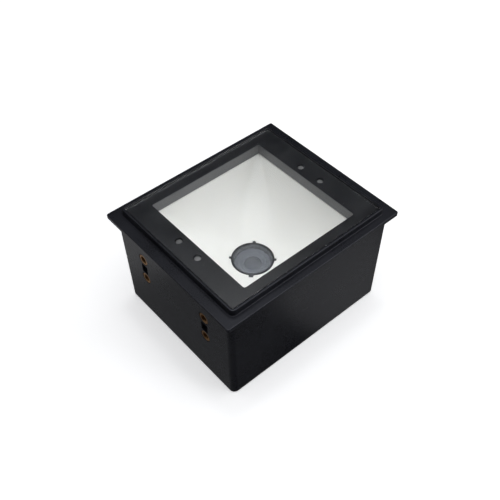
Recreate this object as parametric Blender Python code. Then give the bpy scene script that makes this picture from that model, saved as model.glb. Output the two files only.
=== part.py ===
"""Fixed-mount window barcode scanner: a black box with a flange, a flush window and a camera inside."""

import math

import bmesh
import bpy
from mathutils import Matrix, Vector

MM = 0.001

# Driving dimensions, in millimetres. Z is up, and the underside of the box is at zero.
TOTAL_HEIGHT = 46.4
FLANGE_TOP = 43.8
FLANGE_THICK = 1.8
FLANGE_X, FLANGE_Y = 78.7, 67.7
BODY_TOP_X, BODY_TOP_Y = 73.6, 63.7
BODY_BASE_X, BODY_BASE_Y = 72.5, 62.6
COLLAR_X, COLLAR_Y = 70.0, 61.6
WALL = 1.9
RIM = 0.9  # width of the collar's rim round the glass
CLEARANCE = 0.3  # between pieces that touch
FILM_GAP = 0.1  # between flat layers that lie on each other

BODY_CORNER = 2.3
FLANGE_CORNER = 0.8
COLLAR_CORNER = 1.8
EDGE_ROUND = 0.3
BASE_ROUND = 0.9

GLASS_THICK = 1.2
GLASS_SIDE_GAP = 0.15
GLASS_CHAMFER = 0.15
WINDOW_CLEAR = 50.6  # the clear area is a square
WINDOW_CORNER = 0.8
MASK_THICK = 0.15
APERTURE_RADIUS = 1.4
GASKET_THICK = 0.4
LEDGE_TOP = TOTAL_HEIGHT - 2.15
LEDGE_THICK = 2.0
LEDGE_OPENING = 52.8

SHROUD_INSIDE = 50.9
SHROUD_WALL = 0.8
SHROUD_BOTTOM = 40.3
SHROUD_RISE = 0.35  # how far its top stands over the ledge
SHROUD_LIP = 0.7
SHROUD_LIP_DROP = 0.6  # below the ledge
SHROUD_CORNER, SHROUD_INNER_CORNER = 0.8, 0.5

BOWL_TOP = 40.0
BOWL_BOTTOM = 18.9
BOWL_TOP_HALF = 25.4
BOWL_MOUTH_RADIUS = 8.25
BOWL_WALL = 1.2
BOWL_TOP_CORNER = 1.4
BOWL_SECTIONS = 8
BOWL_ROUNDNESS = 0.55  # share of its slope that is a quarter circle, the rest is straight
BOWL_SQUARENESS = 1.3  # how long the outline stays square on the way down
BOWL_UNDERCUT = 0.6

LENS_Z = 19.1  # top of the clear disc over the lens
RING_RADIUS = 7.85
RING_INNER = 7.4
# Ears round the ring, as angle, reach and width. The larger one is the key.
EARS = ((45, 8.9, 1.0), (135, 8.9, 1.0), (225, 9.6, 1.5), (315, 8.9, 1.0))
EAR_STEP = 0.2  # ears end this far from the ring's top and bottom
RING_THICK = 1.6
RING_STEP = 1.0  # depth of the seat for the clear disc
RING_SEAT = 0.5
RING_CHAMFER = 0.15
COVER_LOW, COVER_EDGE, COVER_TOP = 0.9, 0.25, 0.1  # below the ring's top
COVER_CHAMFER = 0.2

INSERT_Y = 17.3
INSERT_Z = (31.3, 21.3)
INSERT_RADIUS = 2.2
INSERT_BORE = 1.25
INSERT_LENGTH = 4.6
INSERT_CHAMFER = 0.3
INSERT_SIDE_GAP = 0.15
INSERT_SUNK = 0.1
SLOT_Y, SLOT_Z = 3.4, 4.4
SLOT_DEPTH = 4.2
INSERT_BLOCK = (5.2, 7.4, 17.6)

SENSOR_X, SENSOR_Y = 28.5, 5.1
SENSOR_RADIUS = 1.25
SENSOR_SIDE_GAP = 0.2
SENSOR_RISE = 0.48  # how far a dome stands over the ledge
SENSOR_NOTCH = 2.2
SENSOR_BOARD_TOP = 41.4
SENSOR_BOARD_THICK = 1.0
SENSOR_BOARD_X = (26.9, 33.3)
SENSOR_BOARD_HALF_Y = 22.0
SENSOR_SCREW = (31.2, 18.5)
RIBBON_THICK = 0.3
RIBBON_X = 33.4  # how far out the side ribbons run
RIBBON_INNER_X = (25.5, 30.6)  # where their lower and upper ends lie
RIBBON_HALF_WIDTH = 2.5
RIBBON_BENDS = (1.2, 0.8)  # lower and upper
FLEX_HALF_WIDTH = 5.0
LED_X = 30.4
LED_YS = (-10.0, 10.0)
LED_SIZE = (2.8, 3.5, 0.9)

BASE_COVER_THICK = 2.0
BASE_SCREW = (31.2, 26.2)
BASE_SCREW_HOLE = 1.25
BASE_SCREW_THROUGH = 1.4
BASE_SCREW_SEAT = (2.6, 1.2)  # radius, depth
BOSS_TOP = 13.0
BOSS_RADIUS = 3.6
BOARD_POST_RADIUS = 2.4
BOARD_SCREW_HOLE = 1.0
SENSOR_BOSS_RADIUS = 1.8
SENSOR_SCREW_HOLE = 0.85

MAIN_BOARD_Z = 5.0
MAIN_BOARD = (56.0, 46.0, 1.6)
BOARD_SCREW = (25.0, 20.0)
IMAGER_BOARD_Z = 8.2
IMAGER_BOARD = (26.0, 20.0, 1.0)
IMAGER_SCREW_X = 10.6
BRACKET_PLATE = (38.0, 30.0, 1.4)
BRACKET_Z = 15.6
BRACKET_POST = (16.0, 12.4)
BRACKET_POST_RADIUS = 2.2
BRACKET_BORE = 7.3
BOARD_HOLE, IMAGER_HOLE, SENSOR_BOARD_HOLE = 1.1, 0.95, 0.8
IMAGE_SENSOR = (7.6, 7.6, 1.1)

# Flat chip and round buzzer on the main board, each placed by its centre.
CHIP_PLACE, CHIP_SIZE = (-18.5, 0.0), (12.0, 12.0, 1.2)
BUZZER_PLACE = (22.5, -8.6)
BUZZER_RADIUS, BUZZER_HEIGHT, BUZZER_CHAMFER = 4.5, 4.3, 0.3
BUZZER_HOLE = (0.8, 0.9)  # radius, depth

SOCKET_SIZE = (16.0, 14.8, 13.2)
SOCKET_FACE_Y = 31.1
SOCKET_PORT = (11.8, 11.0, 6.9)
SOCKET_LATCH = (6.2, 3.4)
SOCKET_FLOOR = 1.6

BARREL_RADIUS = 5.8
BARREL_BORE, BARREL_STOP = 3.4, 2.4
BARREL_LOW, BARREL_SHOULDER, BARREL_TOP = 11.4, 14.9, 17.0
STOP_LOW, STOP_HIGH = 13.2, 14.2
BARREL_HEAD_RADIUS = 6.7
BARREL_STEPS = ((5.6, 0), (5.2, 0.4), (4.5, 0.4), (3.9, 0.9), (3.4, 0.9))  # radius, depth below its top
FRONT_GLASS = ((3.2, 14.5), (3.2, 15.6), (2.4, 16.1), (1.0, 16.4))
REAR_GLASS = ((1.6, 11.6), (3.1, 11.9), (3.1, 12.8))
FRONT_GLASS_Z, REAR_GLASS_Z = 15.6, 12.2
HOLDER_BORE = 6.1
HOLDER_FOOT = (26.0, 15.2, 1.6)
HOLDER_FOOT_CORNER = 1.5
HOLDER_RADIUS, HOLDER_TOP = 7.4, 14.4
HOLDER_SCREW_HOLE = 0.9

# Screws: head radius, head height, shank radius, shank length.
BASE_SCREW_SIZE = (2.3, 0.9, 1.0, 8.0)
BOARD_SCREW_SIZE = (1.9, 1.1, 0.8, 4.6)
BRACKET_SCREW_SIZE = (1.9, 1.1, 0.8, 5.0)
SENSOR_SCREW_SIZE = (1.4, 0.8, 0.6, 2.6)
IMAGER_SCREW_SIZE = (1.5, 0.9, 0.7, 3.0)

ROUND_STEPS = 24


def clear_scene():
    for item in list(bpy.data.objects):
        bpy.data.objects.remove(item, do_unlink=True)


def make_material(name, color, roughness, metallic=0.0, alpha=1.0):
    material = bpy.data.materials.new(name)
    material.use_nodes = True
    shader = material.node_tree.nodes["Principled BSDF"]
    shader.inputs["Base Color"].default_value = (*color, 1.0)
    shader.inputs["Roughness"].default_value = roughness
    shader.inputs["Metallic"].default_value = metallic
    shader.inputs["Alpha"].default_value = alpha
    return material


def make_materials():
    return {
        "housing_black": make_material("housing_black", (0.032, 0.033, 0.036), 0.38),
        "window_glass": make_material("window_glass", (0.9, 0.92, 0.92), 0.02, alpha=0.25),
        "mask_black": make_material("mask_black", (0.02, 0.02, 0.023), 0.3),
        "gasket_foam": make_material("gasket_foam", (0.05, 0.05, 0.05), 0.9),
        "shroud_grey": make_material("shroud_grey", (0.16, 0.16, 0.17), 0.55),
        "bowl_white": make_material("bowl_white", (0.88, 0.88, 0.86), 0.5),
        "ring_dark": make_material("ring_dark", (0.05, 0.055, 0.06), 0.4),
        "cover_clear": make_material("cover_clear", (0.8, 0.82, 0.85), 0.05, alpha=0.3),
        "lens_metal": make_material("lens_metal", (0.06, 0.06, 0.07), 0.35, 0.6),
        "lens_glass": make_material("lens_glass", (0.35, 0.38, 0.45), 0.03),
        "holder_black": make_material("holder_black", (0.03, 0.03, 0.03), 0.6),
        "board_green": make_material("board_green", (0.03, 0.16, 0.07), 0.45),
        "chip_black": make_material("chip_black", (0.02, 0.02, 0.02), 0.5),
        "sensor_smoke": make_material("sensor_smoke", (0.22, 0.22, 0.21), 0.2),
        "led_white": make_material("led_white", (0.85, 0.83, 0.7), 0.4),
        "socket_black": make_material("socket_black", (0.04, 0.04, 0.045), 0.5),
        "flex_amber": make_material("flex_amber", (0.55, 0.3, 0.08), 0.4),
        "brass": make_material("brass", (0.72, 0.5, 0.22), 0.3, 1.0),
        "screw_steel": make_material("screw_steel", (0.35, 0.35, 0.37), 0.35, 1.0),
    }


def rounded_rectangle(half_x, half_y, radius, z, steps=4):
    """One closed loop of points, anticlockwise from above, with the same count for any size."""
    points = []
    for sign_x, sign_y, start in ((1, 1, 0), (-1, 1, 90), (-1, -1, 180), (1, -1, 270)):
        for step in range(steps + 1):
            angle = math.radians(start + 90 * step / steps)
            x = sign_x * (half_x - radius) + radius * math.cos(angle)
            y = sign_y * (half_y - radius) + radius * math.sin(angle)
            points.append(Vector((x, y, z)))
    return points


def circle(radius, z, steps=ROUND_STEPS):
    turn = 2 * math.pi / steps
    return [Vector((radius * math.cos(turn * n), radius * math.sin(turn * n), z)) for n in range(steps)]


def bridge(shape, loops, closed):
    """Walls between loops of equal length; closed joins last to first, otherwise both ends are capped."""
    rings = [[shape.verts.new(point * MM) for point in loop] for loop in loops]
    pairs = list(zip(rings, rings[1:]))
    if closed:
        pairs.append((rings[-1], rings[0]))
    for lower, upper in pairs:
        for n in range(len(lower)):
            m = (n + 1) % len(lower)
            shape.faces.new((lower[n], lower[m], upper[m], upper[n]))
    if not closed:
        shape.faces.new(reversed(rings[0]))
        shape.faces.new(rings[-1])


def add_box(shape, low, high):
    half_x, half_y = (high[0] - low[0]) / 2, (high[1] - low[1]) / 2
    centre = Vector(((low[0] + high[0]) / 2, (low[1] + high[1]) / 2, 0))
    corners = [Vector((x * half_x, y * half_y, 0)) for x, y in ((1, 1), (-1, 1), (-1, -1), (1, -1))]
    loops = [[centre + corner + Vector((0, 0, z)) for corner in corners] for z in (low[2], high[2])]
    bridge(shape, loops, closed=False)


def add_rod(shape, profile, centre=(0, 0, 0), steps=ROUND_STEPS, closed=False, turn=None):
    """A turned solid from (radius, height) pairs, listed upwards on the outside, then moved to its centre."""
    start = len(shape.verts)
    bridge(shape, [circle(radius, z, steps) for radius, z in profile], closed)
    shape.verts.ensure_lookup_table()
    made = shape.verts[start:]
    if turn is not None:
        bmesh.ops.transform(shape, matrix=turn, verts=made)
    bmesh.ops.translate(shape, vec=Vector(centre) * MM, verts=made)


def finish_object(name, shape, material, smooth=True):
    mesh = bpy.data.meshes.new(name)
    bmesh.ops.recalc_face_normals(shape, faces=shape.faces)
    shape.to_mesh(mesh)
    shape.free()
    if smooth:
        mesh.shade_smooth()
        mesh.set_sharp_from_angle(angle=math.radians(35))
    mesh.materials.append(material)
    item = bpy.data.objects.new(name, mesh)
    bpy.context.scene.collection.objects.link(item)
    return item


def as_guide(item):
    item.hide_render = True
    item.display_type = "WIRE"
    return item


def add_boolean(item, other, operation):
    modifier = item.modifiers.new(operation.title() + "_" + other.name, "BOOLEAN")
    modifier.operation = operation
    modifier.solver = "EXACT"
    modifier.object = other


def move_origin(item, point):
    """Puts an object's origin on a point without moving its shape."""
    place = Vector(point) * MM
    item.data.transform(Matrix.Translation(-place))
    item.location = place


def body_half(z):
    share = z / (FLANGE_TOP - FLANGE_THICK)
    half_x = (BODY_BASE_X + (BODY_TOP_X - BODY_BASE_X) * share) / 2
    half_y = (BODY_BASE_Y + (BODY_TOP_Y - BODY_BASE_Y) * share) / 2
    return half_x, half_y


def shell_loop(z, inset, corner):
    half_x, half_y = body_half(z)
    return rounded_rectangle(half_x - inset, half_y - inset, corner, z)


def housing_loops():
    """Outside from the base up over the flange and collar, then the glass recess and the inside."""
    flange_under = FLANGE_TOP - FLANGE_THICK
    flange = (FLANGE_X / 2, FLANGE_Y / 2)
    collar = (COLLAR_X / 2, COLLAR_Y / 2)
    recess = (collar[0] - RIM, collar[1] - RIM)
    inner_corner = BODY_CORNER - 1.0
    loops = []
    for share in (0.0, 0.5, 1.0):
        angle = share * math.pi / 2
        inset = BASE_ROUND * (1 - math.sin(angle))
        loops.append(shell_loop(BASE_ROUND * (1 - math.cos(angle)), inset, BODY_CORNER - inset))
    loops.append(shell_loop(flange_under, 0, BODY_CORNER))
    for inset, z in (
        (EDGE_ROUND, flange_under),
        (0, flange_under + EDGE_ROUND),
        (0, FLANGE_TOP - EDGE_ROUND),
        (EDGE_ROUND, FLANGE_TOP),
    ):
        loops.append(rounded_rectangle(flange[0] - inset, flange[1] - inset, FLANGE_CORNER - inset, z))
    for inset, z in (
        (-EDGE_ROUND, FLANGE_TOP),
        (0, FLANGE_TOP + EDGE_ROUND),
        (0, TOTAL_HEIGHT - EDGE_ROUND),
        (EDGE_ROUND, TOTAL_HEIGHT),
    ):
        loops.append(rounded_rectangle(collar[0] - inset, collar[1] - inset, COLLAR_CORNER - inset, z))
    loops.append(rounded_rectangle(*recess, COLLAR_CORNER - RIM, TOTAL_HEIGHT))
    loops.append(rounded_rectangle(*recess, COLLAR_CORNER - RIM, LEDGE_TOP))
    opening = LEDGE_OPENING / 2
    ceiling = LEDGE_TOP - LEDGE_THICK
    loops.append(rounded_rectangle(opening, opening, inner_corner, LEDGE_TOP))
    loops.append(rounded_rectangle(opening, opening, inner_corner, ceiling))
    loops.append(shell_loop(ceiling, WALL, inner_corner))
    loops.append(shell_loop(0, WALL, inner_corner))
    return loops


def side_signs():
    return [(x, y) for x in (-1, 1) for y in (-1, 1)]


def turn_outward(x):
    """Lays an upright shape down so that its top faces out of the wall on that side."""
    return Matrix.Rotation(math.radians(90 * x), 4, "Y")


def make_housing(materials):
    shape = bmesh.new()
    bridge(shape, housing_loops(), closed=True)
    housing = finish_object("housing", shape, materials["housing_black"])

    bosses = bmesh.new()
    deep, wide, tall = INSERT_BLOCK
    ceiling = LEDGE_TOP - LEDGE_THICK
    block_z = sum(INSERT_Z) / 2
    for x, y in side_signs():
        outer = body_half(INSERT_Z[1])[0] - WALL / 2
        edges = sorted((x * outer, x * (outer - deep)))
        low = (edges[0], y * INSERT_Y - wide / 2, block_z - tall / 2)
        high = (edges[1], y * INSERT_Y + wide / 2, block_z + tall / 2)
        add_box(bosses, low, high)
        boss_low = BASE_COVER_THICK + CLEARANCE
        centre = (x * BASE_SCREW[0], y * BASE_SCREW[1], 0)
        add_rod(bosses, [(BOSS_RADIUS, boss_low), (BOSS_RADIUS, BOSS_TOP)], centre, steps=12)
        centre = (x * SENSOR_SCREW[0], y * SENSOR_SCREW[1], 0)
        boss_under = SENSOR_BOARD_TOP + CLEARANCE
        rod = [(SENSOR_BOSS_RADIUS, boss_under), (SENSOR_BOSS_RADIUS, ceiling + 0.5)]
        add_rod(bosses, rod, centre, steps=8)
    union = as_guide(finish_object("housing_bosses", bosses, materials["housing_black"], smooth=False))
    add_boolean(housing, union, "UNION")

    cuts = bmesh.new()
    for x, y in side_signs():
        face = body_half(INSERT_Z[0])[0]
        for z in INSERT_Z:
            depth = INSERT_LENGTH + 2 * CLEARANCE
            reach = (x * (face - depth), y * INSERT_Y, z)
            radius = INSERT_RADIUS + INSERT_SIDE_GAP
            add_rod(cuts, [(radius, 0), (radius, depth + 2)], reach, steps=16, turn=turn_outward(x))
        edges = sorted((x * (face + 2), x * (face - SLOT_DEPTH)))
        low = (edges[0], y * INSERT_Y - SLOT_Y / 2, block_z - SLOT_Z / 2)
        high = (edges[1], y * INSERT_Y + SLOT_Y / 2, block_z + SLOT_Z / 2)
        add_box(cuts, low, high)
        centre = (x * SENSOR_X, y * SENSOR_Y, 0)
        radius = SENSOR_RADIUS + SENSOR_SIDE_GAP
        add_rod(cuts, [(radius, ceiling - 1), (radius, LEDGE_TOP + 1)], centre, steps=12)
        centre = (x * BASE_SCREW[0], y * BASE_SCREW[1], 0)
        rod = [(BASE_SCREW_HOLE, BASE_COVER_THICK - 1), (BASE_SCREW_HOLE, BOSS_TOP - 1.5)]
        add_rod(cuts, rod, centre, steps=8)
        centre = (x * SENSOR_SCREW[0], y * SENSOR_SCREW[1], 0)
        rod = [(SENSOR_SCREW_HOLE, SENSOR_BOARD_TOP - 1), (SENSOR_SCREW_HOLE, LEDGE_TOP - 0.7)]
        add_rod(cuts, rod, centre, steps=8)
    socket_x = SOCKET_SIZE[0] / 2 + CLEARANCE
    socket_low = MAIN_BOARD_Z + MAIN_BOARD[2]
    low = (-socket_x, body_half(0)[1] - WALL - 2, socket_low)
    high = (socket_x, body_half(0)[1] + 3, socket_low + SOCKET_SIZE[2] + 2 * CLEARANCE)
    add_box(cuts, low, high)
    cutter = as_guide(finish_object("housing_cuts", cuts, materials["housing_black"], smooth=False))
    add_boolean(housing, cutter, "DIFFERENCE")


def make_base_cover(materials):
    shape = bmesh.new()
    half_x, half_y = (value - WALL - 0.2 for value in body_half(0))
    corner = BODY_CORNER - 1.2
    loops = [rounded_rectangle(half_x, half_y, corner, z) for z in (0, BASE_COVER_THICK)]
    bridge(shape, loops, closed=False)
    cover = finish_object("base_cover", shape, materials["housing_black"])

    posts = bmesh.new()
    for x, y in side_signs():
        centre = (x * BOARD_SCREW[0], y * BOARD_SCREW[1], 0)
        rod = [(BOARD_POST_RADIUS, 1.0), (BOARD_POST_RADIUS, MAIN_BOARD_Z - CLEARANCE)]
        add_rod(posts, rod, centre, steps=12)
    union = as_guide(finish_object("base_posts", posts, materials["housing_black"], smooth=False))
    add_boolean(cover, union, "UNION")

    cuts = bmesh.new()
    seat, depth = BASE_SCREW_SEAT
    for x, y in side_signs():
        centre = (x * BASE_SCREW[0], y * BASE_SCREW[1], 0)
        rod = [(seat, -1), (seat, depth), (BASE_SCREW_THROUGH, depth), (BASE_SCREW_THROUGH, 3)]
        add_rod(cuts, rod, centre, steps=12)
        centre = (x * BOARD_SCREW[0], y * BOARD_SCREW[1], 0)
        add_rod(cuts, [(BOARD_SCREW_HOLE, 1.4), (BOARD_SCREW_HOLE, MAIN_BOARD_Z + 1)], centre, steps=8)
    cutter = as_guide(finish_object("base_cuts", cuts, materials["housing_black"], smooth=False))
    add_boolean(cover, cutter, "DIFFERENCE")


def make_screw(name, material, centre, size, up):
    """A pan-head screw with a driver recess. Centre is the underside of its head."""
    head_radius, head_height, shank_radius, shank_length = size
    recess = head_radius * 0.35
    profile = [
        (shank_radius * 0.8, -shank_length),
        (shank_radius, 0),
        (head_radius, 0),
        (head_radius * 0.9, head_height),
        (recess, head_height),
        (recess * 0.8, head_height * 0.4),
    ]
    shape = bmesh.new()
    turn = None if up > 0 else Matrix.Rotation(math.radians(180), 4, "X")
    add_rod(shape, profile, centre, steps=10, turn=turn)
    finish_object(name, shape, material)


def make_screws(materials):
    steel = materials["screw_steel"]
    board_top = MAIN_BOARD_Z + MAIN_BOARD[2]
    sensor_board_under = SENSOR_BOARD_TOP - SENSOR_BOARD_THICK
    sets = (
        ("base_screw", BASE_SCREW, BASE_SCREW_SEAT[1] - FILM_GAP, BASE_SCREW_SIZE, -1),
        ("board_screw", BOARD_SCREW, board_top + FILM_GAP, BOARD_SCREW_SIZE, 1),
        ("bracket_screw", BRACKET_POST, MAIN_BOARD_Z - FILM_GAP, BRACKET_SCREW_SIZE, -1),
        ("sensor_board_screw", SENSOR_SCREW, sensor_board_under - FILM_GAP, SENSOR_SCREW_SIZE, -1),
    )
    for name, place, level, size, up in sets:
        for number, (x, y) in enumerate(side_signs(), start=1):
            centre = (x * place[0], y * place[1], level)
            make_screw(f"{name}_{number}", steel, centre, size, up)
    for number, x in enumerate((-1, 1), start=1):
        centre = (x * IMAGER_SCREW_X, 0, IMAGER_BOARD_Z - FILM_GAP)
        make_screw(f"imager_screw_{number}", steel, centre, IMAGER_SCREW_SIZE, -1)


def make_window(materials):
    collar = (COLLAR_X / 2, COLLAR_Y / 2)
    half_x, half_y = (value - RIM - GLASS_SIDE_GAP for value in collar)
    corner = COLLAR_CORNER - RIM - GLASS_SIDE_GAP
    top = TOTAL_HEIGHT - FILM_GAP
    bottom = top - GLASS_THICK
    shape = bmesh.new()
    loops = [
        rounded_rectangle(half_x, half_y, corner, bottom),
        rounded_rectangle(half_x, half_y, corner, top - GLASS_CHAMFER),
        rounded_rectangle(half_x - GLASS_CHAMFER, half_y - GLASS_CHAMFER, corner - GLASS_CHAMFER, top),
    ]
    bridge(shape, loops, closed=False)
    finish_object("window_glass", shape, materials["window_glass"])

    mask_top = bottom - FILM_GAP
    clear = WINDOW_CLEAR / 2
    shape = bmesh.new()
    loops = [
        rounded_rectangle(half_x, half_y, corner, mask_top - MASK_THICK),
        rounded_rectangle(half_x, half_y, corner, mask_top),
        rounded_rectangle(clear, clear, WINDOW_CORNER, mask_top),
        rounded_rectangle(clear, clear, WINDOW_CORNER, mask_top - MASK_THICK),
    ]
    bridge(shape, loops, closed=True)
    mask = finish_object("window_mask", shape, materials["mask_black"])
    gasket_top = mask_top - MASK_THICK - FILM_GAP
    cuts = bmesh.new()
    for x, y in side_signs():
        centre = (x * SENSOR_X, y * SENSOR_Y, 0)
        add_rod(cuts, [(APERTURE_RADIUS, gasket_top - 2), (APERTURE_RADIUS, mask_top + 1)], centre, steps=16)
    cutter = as_guide(finish_object("aperture_cuts", cuts, materials["mask_black"], smooth=False))
    add_boolean(mask, cutter, "DIFFERENCE")

    shape = bmesh.new()
    inner = LEDGE_OPENING / 2 + 0.1
    loops = [
        rounded_rectangle(half_x, half_y, corner, gasket_top - GASKET_THICK),
        rounded_rectangle(half_x, half_y, corner, gasket_top),
        rounded_rectangle(inner, inner, WINDOW_CORNER, gasket_top),
        rounded_rectangle(inner, inner, WINDOW_CORNER, gasket_top - GASKET_THICK),
    ]
    bridge(shape, loops, closed=True)
    gasket = finish_object("window_gasket", shape, materials["gasket_foam"])
    notches = bmesh.new()
    for x in (-1, 1):
        edges = sorted((x * (inner - 1), x * (SENSOR_X + SENSOR_NOTCH)))
        reach = SENSOR_Y + SENSOR_NOTCH
        add_box(notches, (edges[0], -reach, gasket_top - 1), (edges[1], reach, gasket_top + 1))
    cutter = as_guide(finish_object("gasket_cuts", notches, materials["gasket_foam"], smooth=False))
    add_boolean(gasket, cutter, "DIFFERENCE")


def make_shroud(materials):
    inside = SHROUD_INSIDE / 2
    outside = inside + SHROUD_WALL
    top = LEDGE_TOP + SHROUD_RISE
    lip = outside + SHROUD_LIP
    lip_top = LEDGE_TOP - LEDGE_THICK - SHROUD_LIP_DROP
    shape = bmesh.new()
    loops = [
        rounded_rectangle(outside, lip, SHROUD_CORNER, SHROUD_BOTTOM),
        rounded_rectangle(outside, lip, SHROUD_CORNER, lip_top),
        rounded_rectangle(outside, outside, SHROUD_CORNER, lip_top),
        rounded_rectangle(outside, outside, SHROUD_CORNER, top),
        rounded_rectangle(inside, inside, SHROUD_INNER_CORNER, top),
        rounded_rectangle(inside, inside, SHROUD_INNER_CORNER, SHROUD_BOTTOM),
    ]
    bridge(shape, loops, closed=True)
    finish_object("light_shroud", shape, materials["shroud_grey"])


def bowl_section(share, outset):
    """The bowl's outline at a share of its depth: a square with rounded corners at 0, a circle at 1."""
    angle = share * math.pi / 2
    drop = 1 - math.cos(angle) if share < 1 else 1.0
    straight = (1 - BOWL_ROUNDNESS) * share
    depth = BOWL_ROUNDNESS * math.sin(angle) + straight
    half = BOWL_TOP_HALF + (BOWL_MOUTH_RADIUS - BOWL_TOP_HALF) * (BOWL_ROUNDNESS * drop + straight)
    corner = BOWL_TOP_CORNER + (half - BOWL_TOP_CORNER) * share**BOWL_SQUARENESS
    z = BOWL_TOP - (BOWL_TOP - BOWL_BOTTOM) * depth
    return half + outset, corner + outset, z


def make_bowl(materials):
    shape = bmesh.new()
    inside = []
    outside = []
    for step in range(BOWL_SECTIONS):
        share = step / (BOWL_SECTIONS - 1)
        half, corner, z = bowl_section(share, 0)
        inside.append(rounded_rectangle(half, half, corner, z, steps=6))
        half, corner, z = bowl_section(share, BOWL_WALL)
        level = z - BOWL_WALL * BOWL_UNDERCUT * share
        outside.append(rounded_rectangle(half, half, corner, level, steps=6))
    bridge(shape, outside[::-1] + inside, closed=True)
    bowl = finish_object("reflector", shape, materials["bowl_white"])
    cuts = bmesh.new()
    add_ears(cuts, LENS_Z - 4, LENS_Z + 3, RING_INNER, CLEARANCE)
    cutter = as_guide(finish_object("ear_cuts", cuts, materials["bowl_white"], smooth=False))
    add_boolean(bowl, cutter, "DIFFERENCE")


def add_ears(shape, low, high, inner, gap):
    """Four radial bars on the diagonals, from an inner radius out to their reach, grown by a gap."""
    for angle, reach, width in EARS:
        start = len(shape.verts)
        half = width / 2 + gap
        add_box(shape, (inner, -half, low), (reach + gap, half, high))
        shape.verts.ensure_lookup_table()
        turn = Matrix.Rotation(math.radians(angle), 4, "Z")
        bmesh.ops.transform(shape, matrix=turn, verts=shape.verts[start:])


def make_lens_front(materials):
    ring_low = LENS_Z - RING_THICK
    shape = bmesh.new()
    profile = [
        (RING_RADIUS, ring_low),
        (RING_RADIUS, LENS_Z - RING_CHAMFER),
        (RING_RADIUS - RING_CHAMFER, LENS_Z),
        (RING_INNER, LENS_Z),
        (RING_INNER, LENS_Z - RING_STEP),
        (RING_INNER - RING_SEAT, LENS_Z - RING_STEP),
        (RING_INNER - RING_SEAT, ring_low),
    ]
    add_rod(shape, profile, steps=32, closed=True)
    ring = finish_object("lens_ring", shape, materials["ring_dark"])
    ears = bmesh.new()
    add_ears(ears, ring_low + EAR_STEP, LENS_Z - EAR_STEP, RING_INNER + EAR_STEP, 0)
    union = as_guide(finish_object("ring_ears", ears, materials["ring_dark"], smooth=False))
    add_boolean(ring, union, "UNION")

    shape = bmesh.new()
    edge = RING_INNER - FILM_GAP
    profile = [
        (edge, LENS_Z - COVER_LOW),
        (edge, LENS_Z - COVER_EDGE),
        (edge - COVER_CHAMFER, LENS_Z - COVER_TOP),
    ]
    add_rod(shape, profile, steps=32)
    finish_object("lens_cover", shape, materials["cover_clear"])


def make_lens(materials):
    profile = [
        (BARREL_RADIUS, BARREL_LOW),
        (BARREL_RADIUS, BARREL_SHOULDER),
        (BARREL_HEAD_RADIUS, BARREL_SHOULDER),
        (BARREL_HEAD_RADIUS, BARREL_TOP),
    ]
    profile += [(radius, BARREL_TOP - depth) for radius, depth in BARREL_STEPS]
    profile += [
        (BARREL_BORE, STOP_HIGH),
        (BARREL_STOP, STOP_HIGH),
        (BARREL_STOP, STOP_LOW),
        (BARREL_BORE, STOP_LOW),
        (BARREL_BORE, BARREL_LOW),
    ]
    shape = bmesh.new()
    add_rod(shape, profile, closed=True)
    barrel = finish_object("lens_barrel", shape, materials["lens_metal"])
    move_origin(barrel, (0, 0, BARREL_SHOULDER))

    shape = bmesh.new()
    add_rod(shape, FRONT_GLASS, steps=20)
    front = finish_object("lens_front_glass", shape, materials["lens_glass"])
    move_origin(front, (0, 0, FRONT_GLASS_Z))
    shape = bmesh.new()
    add_rod(shape, REAR_GLASS, steps=16)
    rear = finish_object("lens_rear_glass", shape, materials["lens_glass"])
    move_origin(rear, (0, 0, REAR_GLASS_Z))


def make_holder(materials):
    low = IMAGER_BOARD_Z + IMAGER_BOARD[2] + CLEARANCE
    material = materials["holder_black"]
    holder = make_plate("lens_holder", material, HOLDER_FOOT, low, HOLDER_FOOT_CORNER)
    tower = bmesh.new()
    add_rod(tower, [(HOLDER_RADIUS, low + 0.5), (HOLDER_RADIUS, HOLDER_TOP)])
    union = as_guide(finish_object("holder_tower", tower, material, smooth=False))
    add_boolean(holder, union, "UNION")
    cuts = bmesh.new()
    add_rod(cuts, [(HOLDER_BORE, low - 1), (HOLDER_BORE, 16)])
    for x in (-1, 1):
        rod = [(HOLDER_SCREW_HOLE, low - 1), (HOLDER_SCREW_HOLE, low + 2.5)]
        add_rod(cuts, rod, (x * IMAGER_SCREW_X, 0, 0), steps=8)
    cutter = as_guide(finish_object("holder_cuts", cuts, material, smooth=False))
    add_boolean(holder, cutter, "DIFFERENCE")


def make_plate(name, material, size, low, corner):
    shape = bmesh.new()
    loops = [rounded_rectangle(size[0] / 2, size[1] / 2, corner, low + z) for z in (0, size[2])]
    bridge(shape, loops, closed=False)
    return finish_object(name, shape, material)


def cut_holes(item, material, holes, low, high, cutter_name):
    cuts = bmesh.new()
    for x, y, radius in holes:
        add_rod(cuts, [(radius, low), (radius, high)], (x, y, 0), steps=10)
    cutter = as_guide(finish_object(cutter_name, cuts, material, smooth=False))
    add_boolean(item, cutter, "DIFFERENCE")


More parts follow.
